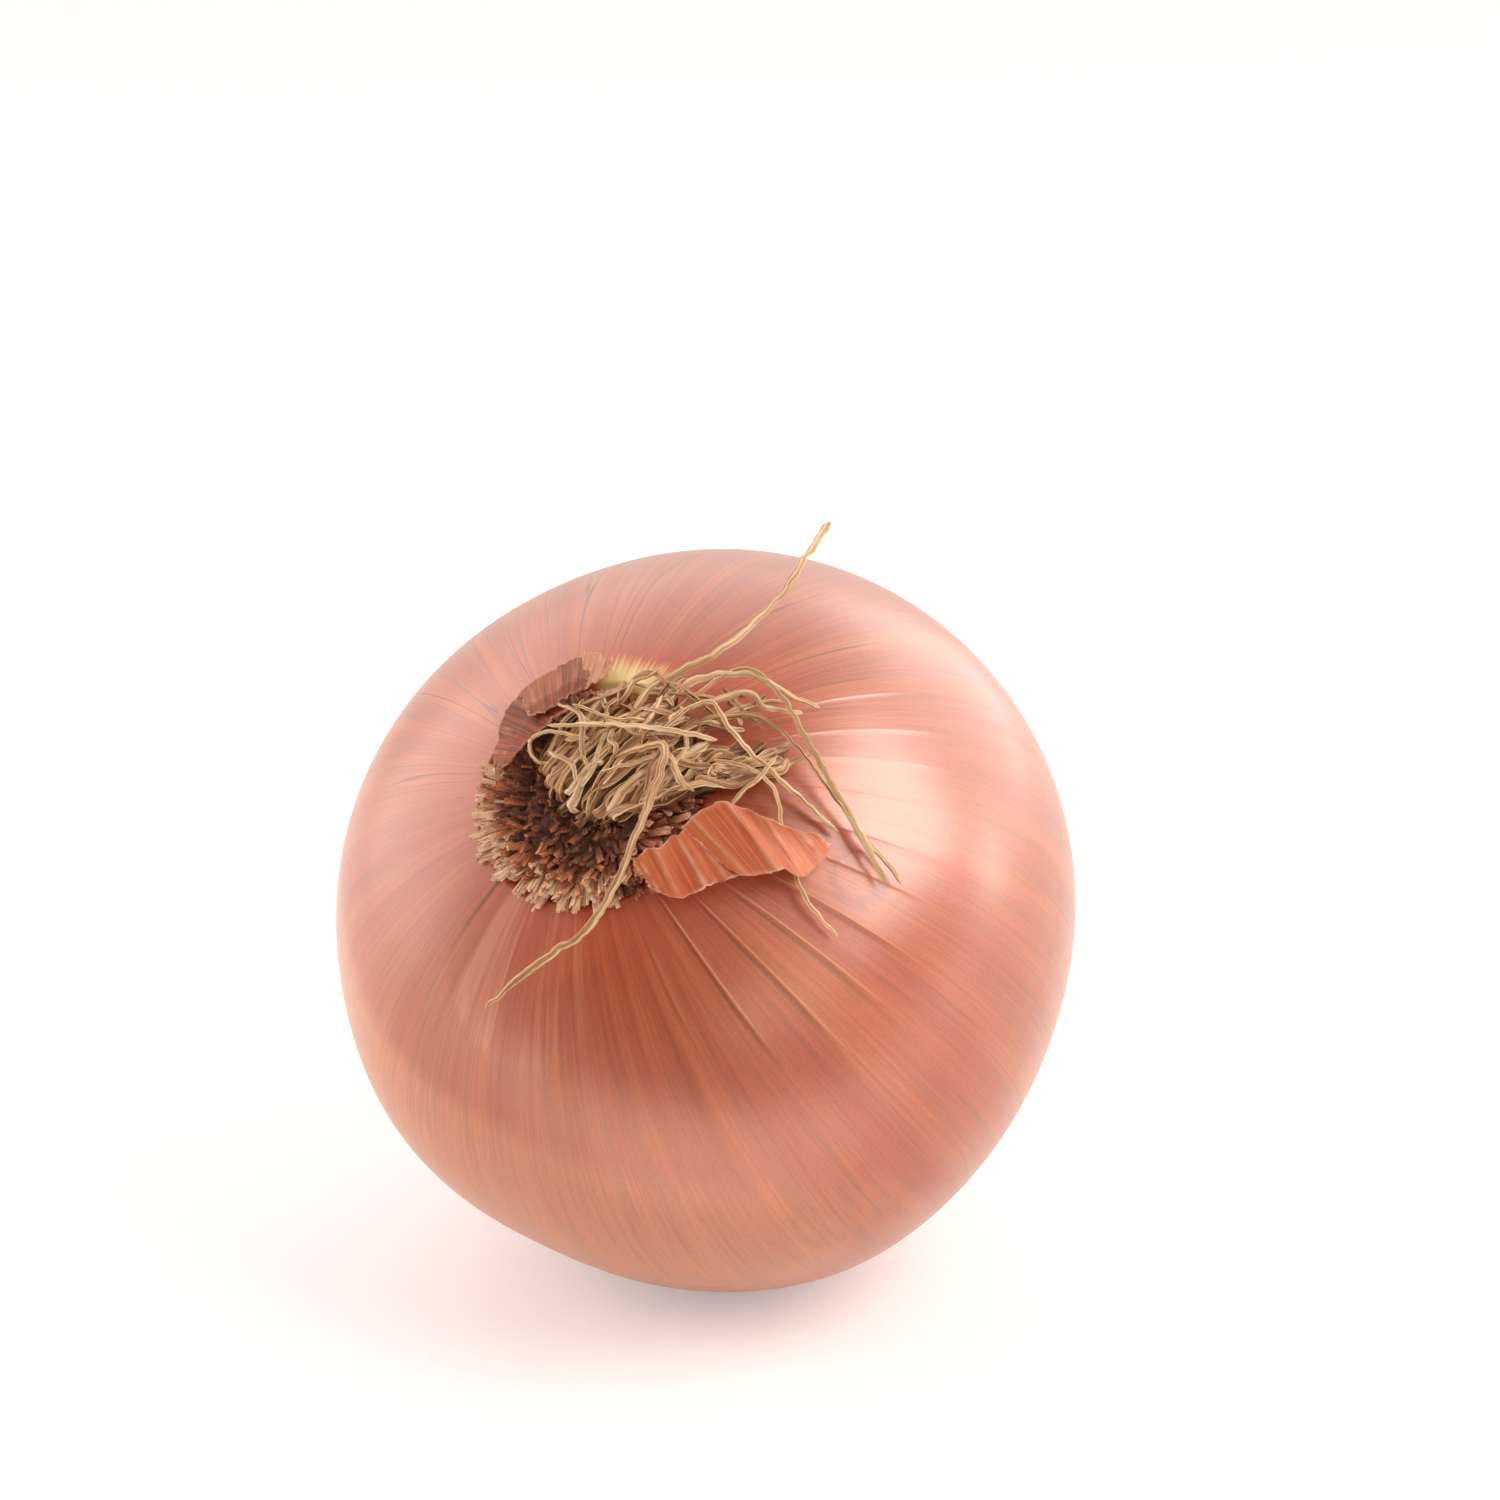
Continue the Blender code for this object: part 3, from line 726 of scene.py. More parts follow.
def make_root_plate_cork():
    finish, tree, shader = new_finish("root_plate_cork", 0.85, specular=0.3)
    streaks = fibres(grain_of(tree), fine=0.5, coarse=2.4, length=1.6, veins=2.0)
    tone = tone_of(tree) + streaks["Fine"] - 0.5
    stops = ((0.0, CORK_DARK), (0.3, CORK_BROWN), (0.55, CORK_RUSSET), (0.85, CORK_CREAM))
    toned(tone, stops).into(shader, "Base Color")
    bumped(shader, streaks["Fine"], 0.25)
    return finish


root_plate_cork = make_root_plate_cork()
make_root_plate()

# Roots
# The dry, wiry roots of the plate, straw coloured and shrivelled into grooves. Most are bent over at
# the mat's lower edge and combed up to the right, shorter ones lie across them, and a few stand clear.
# Painted shade darkens their grooves, the mat's lower layers and the crown beneath it, and painted
# highlights lighten their crests.

ROOT_HALF_WIDTH = 0.38
CROWN_CENTRE = Vector((-3.4, 3.6, 38.0))
CROWN_SIZE = Vector((8.4, 4.5, 1.3))
CROWN_TURN = math.radians(118)
# The mat's lower edge, where its roots bend over
MAT_EDGE = ((-1.5, -6.2), (1.8, -3.4), (4.0, -0.4), (3.6, 3.6), (1.3, 6.9), (-1.4, 10.4), (-4.2, 13.4))
# The mat's far edge, which few roots' tips pass: points of (y, x) in millimetres
MAT_FAR_EDGE = ((-6, -6.2), (-3.5, -8.3), (1, -11.4), (4.7, -14.2), (13.3, -15.6))
MAT_LAYERS = (-0.6, -0.2, 0.2, 0.6)
ROOTS_A_LAYER = 28
CROSSED_ROOTS = 26
BROKEN_ROOTS = 18
# Single roots: longitude, distance, lift over the skin and half width along each
SINGLE_ROOTS = (
    (
        *((140, 5, 3, 0.32), (160, 11, 3.2, 0.44), (151, 18.5, 4.2, 0.4)),
        *((153, 24.5, 5.8, 0.32), (157, 28.5, 7.6, 0.37), (160, 31.5, 9, 0.45)),
    ),
    (
        *((132, 4, 3.5, 0.32), (115, 9.1, 6.6, 0.37), (98, 9.1, 6.5, 0.4), (75, 9.1, 6.0, 0.37)),
        *((51, 10.5, 5.0, 0.34), (32, 13.2, 4.0, 0.4), (22, 15, 3.5, 0.5)),
        *((10, 16.6, 3.0, 0.6), (358, 19.5, 2.8, 0.64), (349, 23.2, 2.6, 0.22)),
    ),
    (
        *((150, 8, 3, 0.32), (148, 14, 3.6, 0.35), (140, 18.4, 4, 0.34)),
        *((130, 21.5, 3, 0.32), (126, 23.6, 2.6, 0.24)),
    ),
    ((140, 10, 3, 0.29), (136, 17.7, 3, 0.32), (129, 19.1, 2.5, 0.32), (126, 22.2, 2, 0.22)),
    (
        *((142, 10, 3, 0.32), (142, 18.2, 4, 0.32), (130, 20.4, 3.6, 0.3), (118, 21.6, 3, 0.29)),
        *((106, 23.8, 2.4, 0.29), (97, 26.4, 1.7, 0.34), (89, 30, 1.1, 0.24)),
    ),
    (
        *((135, 9, 3, 0.32), (128, 17, 3, 0.32), (118, 20, 3, 0.3)),
        *((109, 22.4, 2.5, 0.29), (98, 26.3, 1.5, 0.32), (90.5, 31, 1, 0.19)),
    ),
    (
        *((125, 7, 4, 0.32), (134, 13.8, 5, 0.32), (121, 15.2, 4.5, 0.34), (113, 16.8, 3.5, 0.34)),
        *((106, 19.4, 2.2, 0.34), (99, 23, 1.1, 0.32), (96, 25, 0.9, 0.19)),
    ),
    (
        *((115, 10, 3, 0.29), (109, 16.2, 3, 0.27), (101, 19.2, 2.3, 0.26), (92, 20.4, 1.2, 0.27)),
        *((83, 22.7, 1, 0.29), (78, 24.8, 1, 0.32), (75, 28.4, 1, 0.16)),
    ),
    ((112, 19, 2.8, 0.24), (105, 17.5, 3, 0.26), (95, 15.4, 2.5, 0.21)),
    (
        *((245, 3.3, 2, 0.24), (257, 5.6, 2.2, 0.26), (246, 7.2, 2.6, 0.27)),
        *((228, 6.2, 3.2, 0.26), (175, 3.9, 4, 0.24)),
    ),
    ((226, 6.4, 4, 0.21), (165, 5.3, 5, 0.27), (127, 9.5, 5.6, 0.27), (118, 14, 4.2, 0.21)),
    ((214, 8.5, 3.4, 0.21), (192, 5.8, 4.4, 0.29), (171, 1.6, 3.6, 0.24)),
    ((202, 7.5, 4.2, 0.21), (160, 6.5, 4.6, 0.24), (140, 8.5, 5.2, 0.21)),
)
ROOT_SIDES = 12
# Points along a root of the mat, along a shorter one, and to each stop of a single root
MAT_POINTS = 26
SHORT_POINTS = 18
STOP_POINTS = 12


def smooth_path(points, count):
    """count points along a Catmull-Rom curve through the given points."""
    ends = [2 * points[0] - points[1], *points, 2 * points[-1] - points[-2]]
    path = []
    for index in range(count):
        place = index / (count - 1) * (len(points) - 1)
        start = min(int(place), len(points) - 2)
        t = place - start
        a, b, c, d = ends[start : start + 4]
        slope = (c - a) * t
        bow = (2 * a - 5 * b + 4 * c - d) * t**2
        twist = (3 * b - a - 3 * c + d) * t**3
        path.append(b + (slope + bow + twist) / 2)
    return path


def crown_height(x, y):
    """The top of the crown over a place in the onion's frame, or nothing beside it."""
    off = Vector((x, y)) - CROWN_CENTRE.xy
    along = (off.x * math.cos(CROWN_TURN) + off.y * math.sin(CROWN_TURN)) / CROWN_SIZE.x
    across = (off.y * math.cos(CROWN_TURN) - off.x * math.sin(CROWN_TURN)) / CROWN_SIZE.y
    return CROWN_CENTRE.z + CROWN_SIZE.z * math.sqrt(max(0.0, 1 - along**2 - across**2))


def drape(x, y, lift):
    """A point, x towards longitude 0 and y towards 90, lying over the crown or beside it."""
    distance = math.hypot(x, y)
    ground = max(skin_height(distance), PLATE_TOP if distance < 14.5 else 0.0) + 1.2
    crown = crown_height(x, y)
    over = crown if crown > CROWN_CENTRE.z else ground
    return Vector((x, y, max(over, ground) + lift))


def add_sheet(shape, columns, rows, place, tone):
    """A grid added to a bmesh. place gives a corner and its grain from how far across and along it is."""
    grain, shade = layers_of(shape)
    for corner in bmesh.ops.create_grid(shape, x_segments=columns, y_segments=rows, size=0.5)["verts"]:
        across, along = corner.co.x + 0.5, corner.co.y + 0.5
        corner.co, corner[grain] = place(across, along)
        corner[shade] = tone(across, along) if callable(tone) else tone


def add_root(shape, path, widths, tone, draw):
    """A root along a path: a grid rolled into a grooved, slowly twisted tube, thin at both ends."""
    rows = len(path) - 1
    side = (path[1] - path[0]).orthogonal().normalized()
    frames = []
    length = 0.0
    kinks = draw.uniform(0, 99)
    path = [spot + 0.2 * noise.noise_vector(spot * 0.8 + Vector((kinks, 0, 0))) for spot in path]
    for row, spot in enumerate(path):
        ahead = (path[min(row + 1, rows)] - path[max(row - 1, 0)]).normalized()
        side = (side - ahead * side.dot(ahead)).normalized()
        length += (spot - path[max(row - 1, 0)]).length
        frames.append((spot, side, ahead.cross(side), length))
    roll = draw.uniform(0, math.tau)
    twist = draw.uniform(-2.5, 2.5)
    phase = draw.uniform(0, math.tau)
    flat = draw.uniform(0.45, 0.8)
    thick = []
    for row, wide in enumerate(widths):
        thick.append(wide * (1 + 0.3 * noise.noise(Vector((kinks, 0.45 * row, 0)))))
    for row, part in ((0, 0.3), (1, 0.8), (rows - 1, 0.8), (rows, 0.35)):
        thick[row] *= part

    def place(across, along):
        row = round(along * rows)
        spot, out, up, reach = frames[row]
        around = math.tau * across
        groove = 0.2 * math.cos(3 * around + phase) + 0.14 * math.cos(5 * around - phase)
        wide = thick[row] * (1 + groove)
        x, y = wide * math.cos(around), flat * wide * math.sin(around)
        spin = roll + twist * along
        x, y = x * math.cos(spin) - y * math.sin(spin), x * math.sin(spin) + y * math.cos(spin)
        round_place = Vector((0.4 * math.cos(around) + phase, 0.4 * math.sin(around), reach))
        return spot + out * x + up * y, round_place

    # Painted highlight on the crests and painted shade in the grooves, on top of the root's own tone
    def tone_with_groove_shading(across, along):
        around = math.tau * across
        patch = 0.2 * noise.noise(Vector((phase * 9, 6 * along, 0)))
        groove_shading = 0.22 * math.cos(3 * around + phase) + 0.16 * math.cos(5 * around - phase)
        return max(0.14, tone + patch + groove_shading)

    add_sheet(shape, ROOT_SIDES, rows, place, tone_with_groove_shading)


def far_edge(y):
    """Where the combed mat ends across, at this y, in millimetres."""
    ys, xs = zip(*MAT_FAR_EDGE)
    return float(np.interp(y, ys, xs))


def combed_root(draw, share, layer):
    """One root of the combed mat, share says how far along the mat's edge its bend is."""
    place = share * (len(MAT_EDGE) - 1)
    stop = min(int(place), len(MAT_EDGE) - 2)
    bend_at = Vector(MAT_EDGE[stop]).lerp(Vector(MAT_EDGE[stop + 1]), place - stop)
    heading = math.radians(155 - 30 * share + draw.uniform(-10, 10))
    comb = Vector((math.cos(heading), math.sin(heading)))
    start = bend_at + comb * draw.choice((0.0, 0.0, 0.6, 1.6, 4.0)) + comb * (0.5 + layer)
    length = draw.uniform(0.6, 1.0) * (15 - 4 * max(0, 0.4 - share) - 14 * max(0, share - 0.4))
    stray = draw.uniform(-0.3, 1.4)
    while length > 2 and start.x + comb.x * length < far_edge(start.y + comb.y * length) + stray:
        length -= 0.4
    bow = draw.uniform(-1.1, 1.1)
    stops = ((0.03, -1.6), (0.0, -0.4), (0.05, 0.15), (0.3, 0.0), (0.6, 0.0), (0.85, 0.1), (1.0, 0.4))
    points = []
    for along, lift in stops:
        aside = bow * math.sin(math.pi * along) + draw.uniform(-0.3, 0.3)
        spot = start + comb * (along * length) + Vector((-comb.y, comb.x)) * aside
        points.append(drape(spot.x, spot.y, lift + layer + draw.uniform(-0.2, 0.2)))
    return points


def crossed_root(draw, longest):
    """A short root that lies across the mat at an angle."""
    x = draw.uniform(-13.5, -1.0)
    y = draw.uniform(-3, 12) - 0.2 * x
    heading = math.radians(draw.uniform(50, 200))
    length = draw.uniform(longest / 2, longest)
    layer = draw.uniform(0.9, 1.4)
    points = []
    for along in (-0.5, -0.2, 0.15, 0.5):
        aside = draw.uniform(-0.5, 0.5)
        across_x = x + along * length * math.cos(heading) - aside * math.sin(heading)
        across_y = y + along * length * math.sin(heading) + aside * math.cos(heading)
        across_x = max(across_x, far_edge(across_y) + 0.4)
        points.append(drape(across_x, across_y, layer + draw.uniform(-0.3, 0.3)))
    return points


def make_roots():
    shape = new_shape()
    grain, shade = layers_of(shape)
    turn = Euler((0, 0, CROWN_TURN)).to_matrix().to_4x4()
    dome = Matrix.Translation(CROWN_CENTRE) @ turn @ Matrix.Diagonal((*CROWN_SIZE, 1.0))
    grown = bmesh.ops.create_uvsphere(shape, u_segments=40, v_segments=20, radius=0.9, matrix=dome)
    # The crown under the mat is dark, as painted shade that shows between the roots
    for corner in grown["verts"]:
        corner.co.z += 0.25 * noise.noise(corner.co * 1.3)
        corner[grain] = corner.co
        corner[shade] = 0.1
    draw = random.Random(23)
    # noise_vector starts from the clock where it has no seed
    noise.seed_set(23)
    for rank, layer in enumerate(MAT_LAYERS):
        for index in range(ROOTS_A_LAYER):
            share = (index + 0.3 * rank + 0.2) / ROOTS_A_LAYER
            path = smooth_path(combed_root(draw, share, layer), MAT_POINTS)
            wide = ROOT_HALF_WIDTH * draw.uniform(0.75, 1.15)
            # Lower layers of the mat are darker, as painted shade under the upper ones
            tone = 0.16 + 0.18 * rank + draw.uniform(-0.2, 0.2)
            add_root(shape, path, [wide] * MAT_POINTS, tone, draw)
    for index in range(CROSSED_ROOTS + BROKEN_ROOTS):
        path = smooth_path(crossed_root(draw, 10 if index < CROSSED_ROOTS else 4), SHORT_POINTS)
        wide = ROOT_HALF_WIDTH * draw.uniform(0.55, 0.9)
        add_root(shape, path, [wide] * SHORT_POINTS, draw.uniform(0.35, 0.85), draw)
    for route in SINGLE_ROOTS:
        count = STOP_POINTS * len(route)
        path = smooth_path([over_skin(*stop[:3]) for stop in route], count)
        places = np.linspace(0, len(route) - 1, count)
        widths = np.interp(places, range(len(route)), [stop[3] for stop in route])
        add_root(shape, path, [float(wide) for wide in widths], draw.uniform(0.6, 0.85), draw)
    bmesh.ops.remove_doubles(shape, verts=shape.verts, dist=1e-4)
    bmesh.ops.holes_fill(shape, edges=[edge for edge in shape.edges if edge.is_boundary], sides=0)
    bmesh.ops.recalc_face_normals(shape, faces=shape.faces)
    piece("dry_roots", shape, dry_root, "roots", sharp=60)


STRAW_DARK_AND_SHADE = paint(84, 46, 28)
STRAW_BROWN = paint(166, 112, 70)
STRAW = paint(216, 170, 122)
STRAW_PALE = paint(250, 218, 176)


def make_dry_root():
    finish, tree, shader = new_finish("dry_root", 0.62, specular=0.4)
    streaks = fibres(grain_of(tree), fine=0.12, coarse=0.5, length=2.5, veins=1.0)
    # The tone carries each root's own lightness and the painted shade and highlights given to it
    tone = tone_of(tree) + streaks["Fine"] * 1.2 - 0.65
    stops = ((0.0, STRAW_DARK_AND_SHADE), (0.35, STRAW_BROWN), (0.65, STRAW), (1.0, STRAW_PALE))
    toned(tone, stops).into(shader, "Base Color")
    bumped(shader, streaks["Fine"], 0.12)
    return finish


dry_root = make_dry_root()
make_roots()

# Torn flap
# A scrap of the outer skin that has come loose right of the plate and stands off the bulb: two
# pleated panels, the right one lapped over the left, with torn pale edges. Its fibres run across it.
# Its pleats' crests carry a painted highlight.

SKIN_WALL = 0.16
OLD_SKIN_WALL = 0.2
FLAP_UPPER_NEAR = (
    (78, 12.0, 3.0),
    (84, 12.6, 3.4),
    (93, 14.2, 3.6),
    (93.4, 15.9, 3.5),
    (92.7, 18.2, 3.4),
    (91.8, 21.2, 3.0),
    (93, 23.6, 2.2),
)
FLAP_UPPER_FAR = (
    (73.2, 17.8, 3.3),
    (74.5, 19.4, 3.7),
    (77.8, 20.8, 3.9),
    (80.6, 21.7, 3.6),
    (81.6, 23.2, 2.8),
    (87, 24.4, 1.8),
    (92.2, 24.6, 1.3),
)
FLAP_LOWER_NEAR = ((50, 10.4, 3.4), (62.3, 11.1, 3.3), (76, 12.2, 2.9), (82, 13.2, 2.8))
FLAP_LOWER_FAR = ((50, 13.7, 2.5), (56, 16.1, 2.7), (66.7, 17.5, 3.3), (75, 19.2, 2.9))


def add_scrap(shape, near_edge, far_edge, columns, rows, pleats, torn, jags, seed, pale=0.0, near_shade=0.0):
    """A scrap of skin between two edges of (longitude, distance, lift), pleated from one to the other.

    pleats are (how far across, height, width), torn says how far its edges are ragged, jags how often, pale
    how light its middle is and the last how dark the painted shade along its near edge is. The pleats'
    crests get a painted highlight.
    """
    near = smooth_path([over_skin(*stop) for stop in near_edge], columns + 1)
    far = smooth_path([over_skin(*stop) for stop in far_edge], columns + 1)
    wide = sum((b - a).length for a, b in zip(near, near[1:]))

    def place(across, along):
        column = round(across * columns)
        ragged = noise.fractal(Vector((seed, jags * across, 0)), 0.8, 2.0, 4)
        edge = noise.fractal(Vector((seed, jags * across, 5)), 0.8, 2.0, 4)
        sides = noise.fractal(Vector((seed + 3, 7 * along, 8 * round(across))), 0.7, 2.0, 4)
        reach = far[column] - near[column]
        share = along + torn / reach.length * (ragged * (1 - along) + edge * along)
        spot = near[column] + reach * share
        step = near[min(column + 1, columns)] - near[max(column - 1, 0)]
        spot += step.normalized() * torn * sides * abs(2 * across - 1) ** 6
        up = reach.cross(step).normalized()
        up *= 1 if up.z > 0 else -1
        high = 0.05 * noise.noise(Vector((seed, 7 * across, 2 * along)))
        for centre, tall, width in pleats:
            off = (across - centre) / width
            high += tall * (math.exp(off * 2) if off < 0 else math.exp(-off * 0.6)) * (0.55 + 0.45 * along)
        high += 0.25 * max(0.0, along - 0.8) ** 2 * 25 * noise.noise(Vector((seed, 4 * across, 7)))
        return spot + up * high, Vector((across * wide, 0, share * reach.length))

    def paleness(across, along):
        patchy = 0.5 + 0.9 * noise.noise(Vector((seed + 20, 6 * across, 4 * along)))
        # Painted highlight along the pleats' crests
        crest_shading = max((math.exp(-(((across - centre) * 40) ** 2)) for centre, *_ in pleats), default=0.0)
        worn = max(0.0, 1 - min(along, 1 - along, across, 1 - across) * 26) * patchy
        # Painted shade along the near edge
        deep = near_shade * max(0.0, 1 - along * 2.5) * (0.4 + patchy)
        return max(worn, pale + 0.35 * crest_shading * patchy - deep)

    add_sheet(shape, columns, rows, place, paleness)


def sheet_piece(name, shape, finish, node, wall):
    """A piece of thin skin: a sheet given its wall, in millimetres."""
    made = piece(name, shape, finish, node, sharp=50)
    skin = made.modifiers.new("wall", "SOLIDIFY")
    skin.thickness = wall * MM
    skin.offset = 0.0
    return made


def make_flap():
    shape = new_shape()
    pleats = ((0.16, 0.2, 0.06), (0.42, 0.3, 0.08), (0.68, 0.26, 0.07), (0.86, 0.14, 0.05))
    add_scrap(shape, FLAP_UPPER_NEAR, FLAP_UPPER_FAR, 90, 30, pleats, 0.35, 8, 2.0)
    pleats = ((0.1, 0.16, 0.05), (0.34, 0.42, 0.08), (0.6, 0.42, 0.08), (0.8, 0.2, 0.06))
    add_scrap(shape, FLAP_LOWER_NEAR, FLAP_LOWER_FAR, 70, 30, pleats, 0.35, 6, 11.0)
    sheet_piece("torn_flap", shape, torn_skin, "torn_skin_flap", SKIN_WALL)


# Painted shade along the scraps' near edges
NEAR_EDGE_SHADE = paint(66, 30, 20)


def make_torn_skin(name, dark, middle, pale, edge, coat):
    """The look of loose outer skin: fibre streaks between three colours, a worn edge, painted highlights
    on the pleats' crests and painted shade along the near edges.
    """
    finish, tree, shader = new_finish(name, 0.6, coat=coat, coat_roughness=0.4, specular=0.3)
    streaks = fibres(grain_of(tree), fine=0.2, coarse=0.9, length=7.0, veins=2.2)
    tone = tone_of(tree)
    colour = mix_of(tree, streaks["Coarse"].rise(0.38, 0.6), dark, middle)
    colour = colour.toward(pale, streaks["Fine"].rise(0.48, 0.78, 0.0, 0.7))
    colour = colour.toward(dark, streaks["Veins"] * 0.3)
    # Worn edges, the lighter middle and the painted highlight on the pleats' crests, in the edge colour
    colour = colour.toward(edge, tone * streaks["Fine"].rise(0.25, 0.5))
    # Painted shade along the near edges
    colour.toward(NEAR_EDGE_SHADE, tone.rise(0.0, -0.7)).into(shader, "Base Color")
    bumped(shader, streaks["Fine"], 0.1)
    return finish


torn_skin = make_torn_skin(
    "torn_skin", paint(190, 84, 42), paint(212, 106, 58), paint(228, 140, 92), paint(246, 202, 168), 0.2
)
make_flap()

# Old collar
# What is left of an older outer skin at the plate's upper left: a dark, brittle, red-brown scrap with
# cracks and folds, light along its frayed outer edge, and a thinner pinkish end at the right. Painted
# shade darkens its shards along their near edges, and painted highlights lighten its pleats' crests.

# Its three shards: near edge, far edge, pleats, seed, lightness, how dark the painted shade along the near
# edge is
COLLAR_SHARDS = (
    (
        ((268, 8.8, 2.0), (256, 7.8, 2.5), (240, 7.2, 2.7), (222, 7.4, 2.8), (208, 8.2, 2.7)),
        ((267, 10.9, 1.1), (258, 11.6, 1.1), (246, 13.2, 1.0), (236, 14.3, 1.0), (224, 14.4, 1.1)),
        ((0.2, 0.2, 0.05), (0.45, 0.3, 0.05), (0.75, 0.2, 0.06)),
        31.0,
        0.05,
        1.0,
    ),
    (
        ((234, 9.4, 2.9), (224, 8.6, 3.2), (212, 8.6, 3.3), (204, 9.4, 3.1), (196, 10.0, 2.7)),
        ((232, 14.3, 1.2), (222, 14.2, 1.6), (212, 14.0, 1.9), (206, 14.6, 1.7), (199, 14.9, 1.3)),
        ((0.15, 0.2, 0.05), (0.5, 0.34, 0.06), (0.8, 0.14, 0.06)),
        47.0,
        0.16,
        0.8,
    ),
    (
        ((208, 9.6, 2.4), (201, 9.8, 2.6), (195, 10.6, 2.3), (190, 12.0, 1.7)),
        ((206, 15.2, 1.3), (201, 15.5, 1.5), (196, 15.1, 1.2), (191, 14.4, 0.9)),
        ((0.3, 0.12, 0.08), (0.7, 0.14, 0.08)),
        58.0,
        0.6,
        0.0,
    ),
)


def make_collar():
    shape = new_shape()
    for near_edge, far_edge, pleats, seed, pale, near_shade in COLLAR_SHARDS:
        add_scrap(shape, near_edge, far_edge, 80, 30, pleats, 0.5, 7, seed, pale, near_shade)
    sheet_piece("old_collar", shape, torn_skin_old, "torn_skin_collar", OLD_SKIN_WALL)


torn_skin_old = make_torn_skin(
    "torn_skin_old", paint(108, 44, 26), paint(158, 72, 42), paint(190, 104, 68), paint(236, 174, 136), 0.0
)
make_collar()

# Neck leaves
# The dried ends of the leaves on the neck: a standing sheaf of pleated blades with torn tops, and an
# outer collar of brittle scraps that folds back. All grow from the neck and are thin as paper.

SKIN_GAP = 0.15
SHEAF_LEAVES = 9
SHEAF_RADII = (4.0, 4.8)
SHEAF_WIDTH = 6.4
# How much a blade widens on its way out
SHEAF_FAN = 0.45
CUFF_LEAVES = 9
CUFF_RADIUS = 5.0
CUFF_FAN = 0.3
SCRAP_RADIUS = 4.6
SCRAP_WIDTH = 2.2
SCRAP_FAN = -0.2
SCRAP_TONE = 0.6
# The sheaf's heart: distance from the axis, and depth past the neck's end
CORE_OUTLINE = ((4.9, 0), (3.9, 1.1), (2.3, 4), (1.7, 8), (0, 8.6))
CORE_STEPS = 48
CORE_TONE = 0.25
# Longitude in degrees, length in millimetres, and how far it is bent over, in radians, on its way out
NECK_SCRAPS = (
    (105, 8, (0.9, 1.8, 1.2, 2.0)),
    (150, 10, (0.8, 1.2, 1.3, 0.7)),
    (232, 11, (1.0, 1.9, 1.4, 1.1)),
    (290, 8, (0.9, 1.5, 2.2, 2.6)),
)


def over_surface(place):
    """The place, lifted where it would sink into what the onion rests on."""
    height = REST_HEIGHT + (onion_turn @ place).z
    if height >= 2.4:
        return place
    eased = 0.8 + 1.6 * math.exp((height - 2.4) / 1.6)
    return place + onion_turn.transposed() @ Vector((0, 0, eased - height))


def add_neck_leaf(shape, draw, longitude, start, reach, bends, width, fan, tone):
    """One dry leaf end: a pleated blade wrapped part of the way round and torn across its top.

    bends are its bends outward in radians, evenly spaced from root to tip, and fan how much it widens.
    """
    stops = max(2, round(width / 1.5))
    rows = 20
    columns = 7 * stops
    out, down = start, NECK_END + SKIN_GAP
    spine = [(out, down, bends[0])]
    for row in range(1, rows + 1):
        bend = float(np.interp(row / rows * (len(bends) - 1), range(len(bends)), bends))
        out += reach / rows * math.sin(bend)
        down += reach / rows * math.cos(bend)
        spine.append((out, down, bend))
    twist = draw.uniform(-0.35, 0.35)
    tears = [reach * draw.uniform(-0.22, 0.1) for _ in range(stops + 1)]
    seed = draw.uniform(0, 99)

    def place(across, along):
        out, down, bend = spine[round(along * rows)]
        between = across * stops
        stop = min(int(between), stops - 1)
        pleat = 0.22 * math.cos(math.pi * between)
        pleat += 0.3 * noise.noise(Vector((seed, 5 * across, 2.5 * along)))
        torn = tears[stop] + (tears[stop + 1] - tears[stop]) * (between - stop)
        torn += 0.1 * reach * noise.fractal(Vector((seed, 12 * across, 0)), 0.6, 2.0, 4)
        torn *= float(smoothstep(0.4, 1.0, along))
        aside = width * (1 + fan * along) * (across - 0.5)
        turn = longitude + math.degrees(twist * along + aside / max(out, 3.4))
        distance = out + pleat * math.cos(bend) + torn * math.sin(bend)
        depth = down + torn * math.cos(bend) - pleat * math.sin(bend)
        spot = over_surface(polar(turn, distance, -depth))
        return spot, Vector((across * width + seed, seed, along * reach))

    def paleness(across, along):
        tip = 1.5 * max(0.0, along - 0.55)
        edge = 0.5 * max(0.0, 1 - 14 * min(across, 1 - across))
        patch = 0.5 * noise.noise(Vector((seed, 3 * across, 2 * along)))
        return tone + tip + edge + patch

    add_sheet(shape, columns, rows, place, paleness)


def make_neck_core():
    """The closed heart of the sheaf, that shows between its blades."""
    top = NECK_END + SKIN_GAP
    stem = spun_shape([(0.0, -top), *((out, -top - deep) for out, deep in CORE_OUTLINE)], CORE_STEPS)
    grain, shade = layers_of(stem)
    for corner in stem.verts:
        corner[grain] = corner.co
        corner[shade] = CORE_TONE
    piece("neck_core", stem, neck_leaf, None, sharp=40)


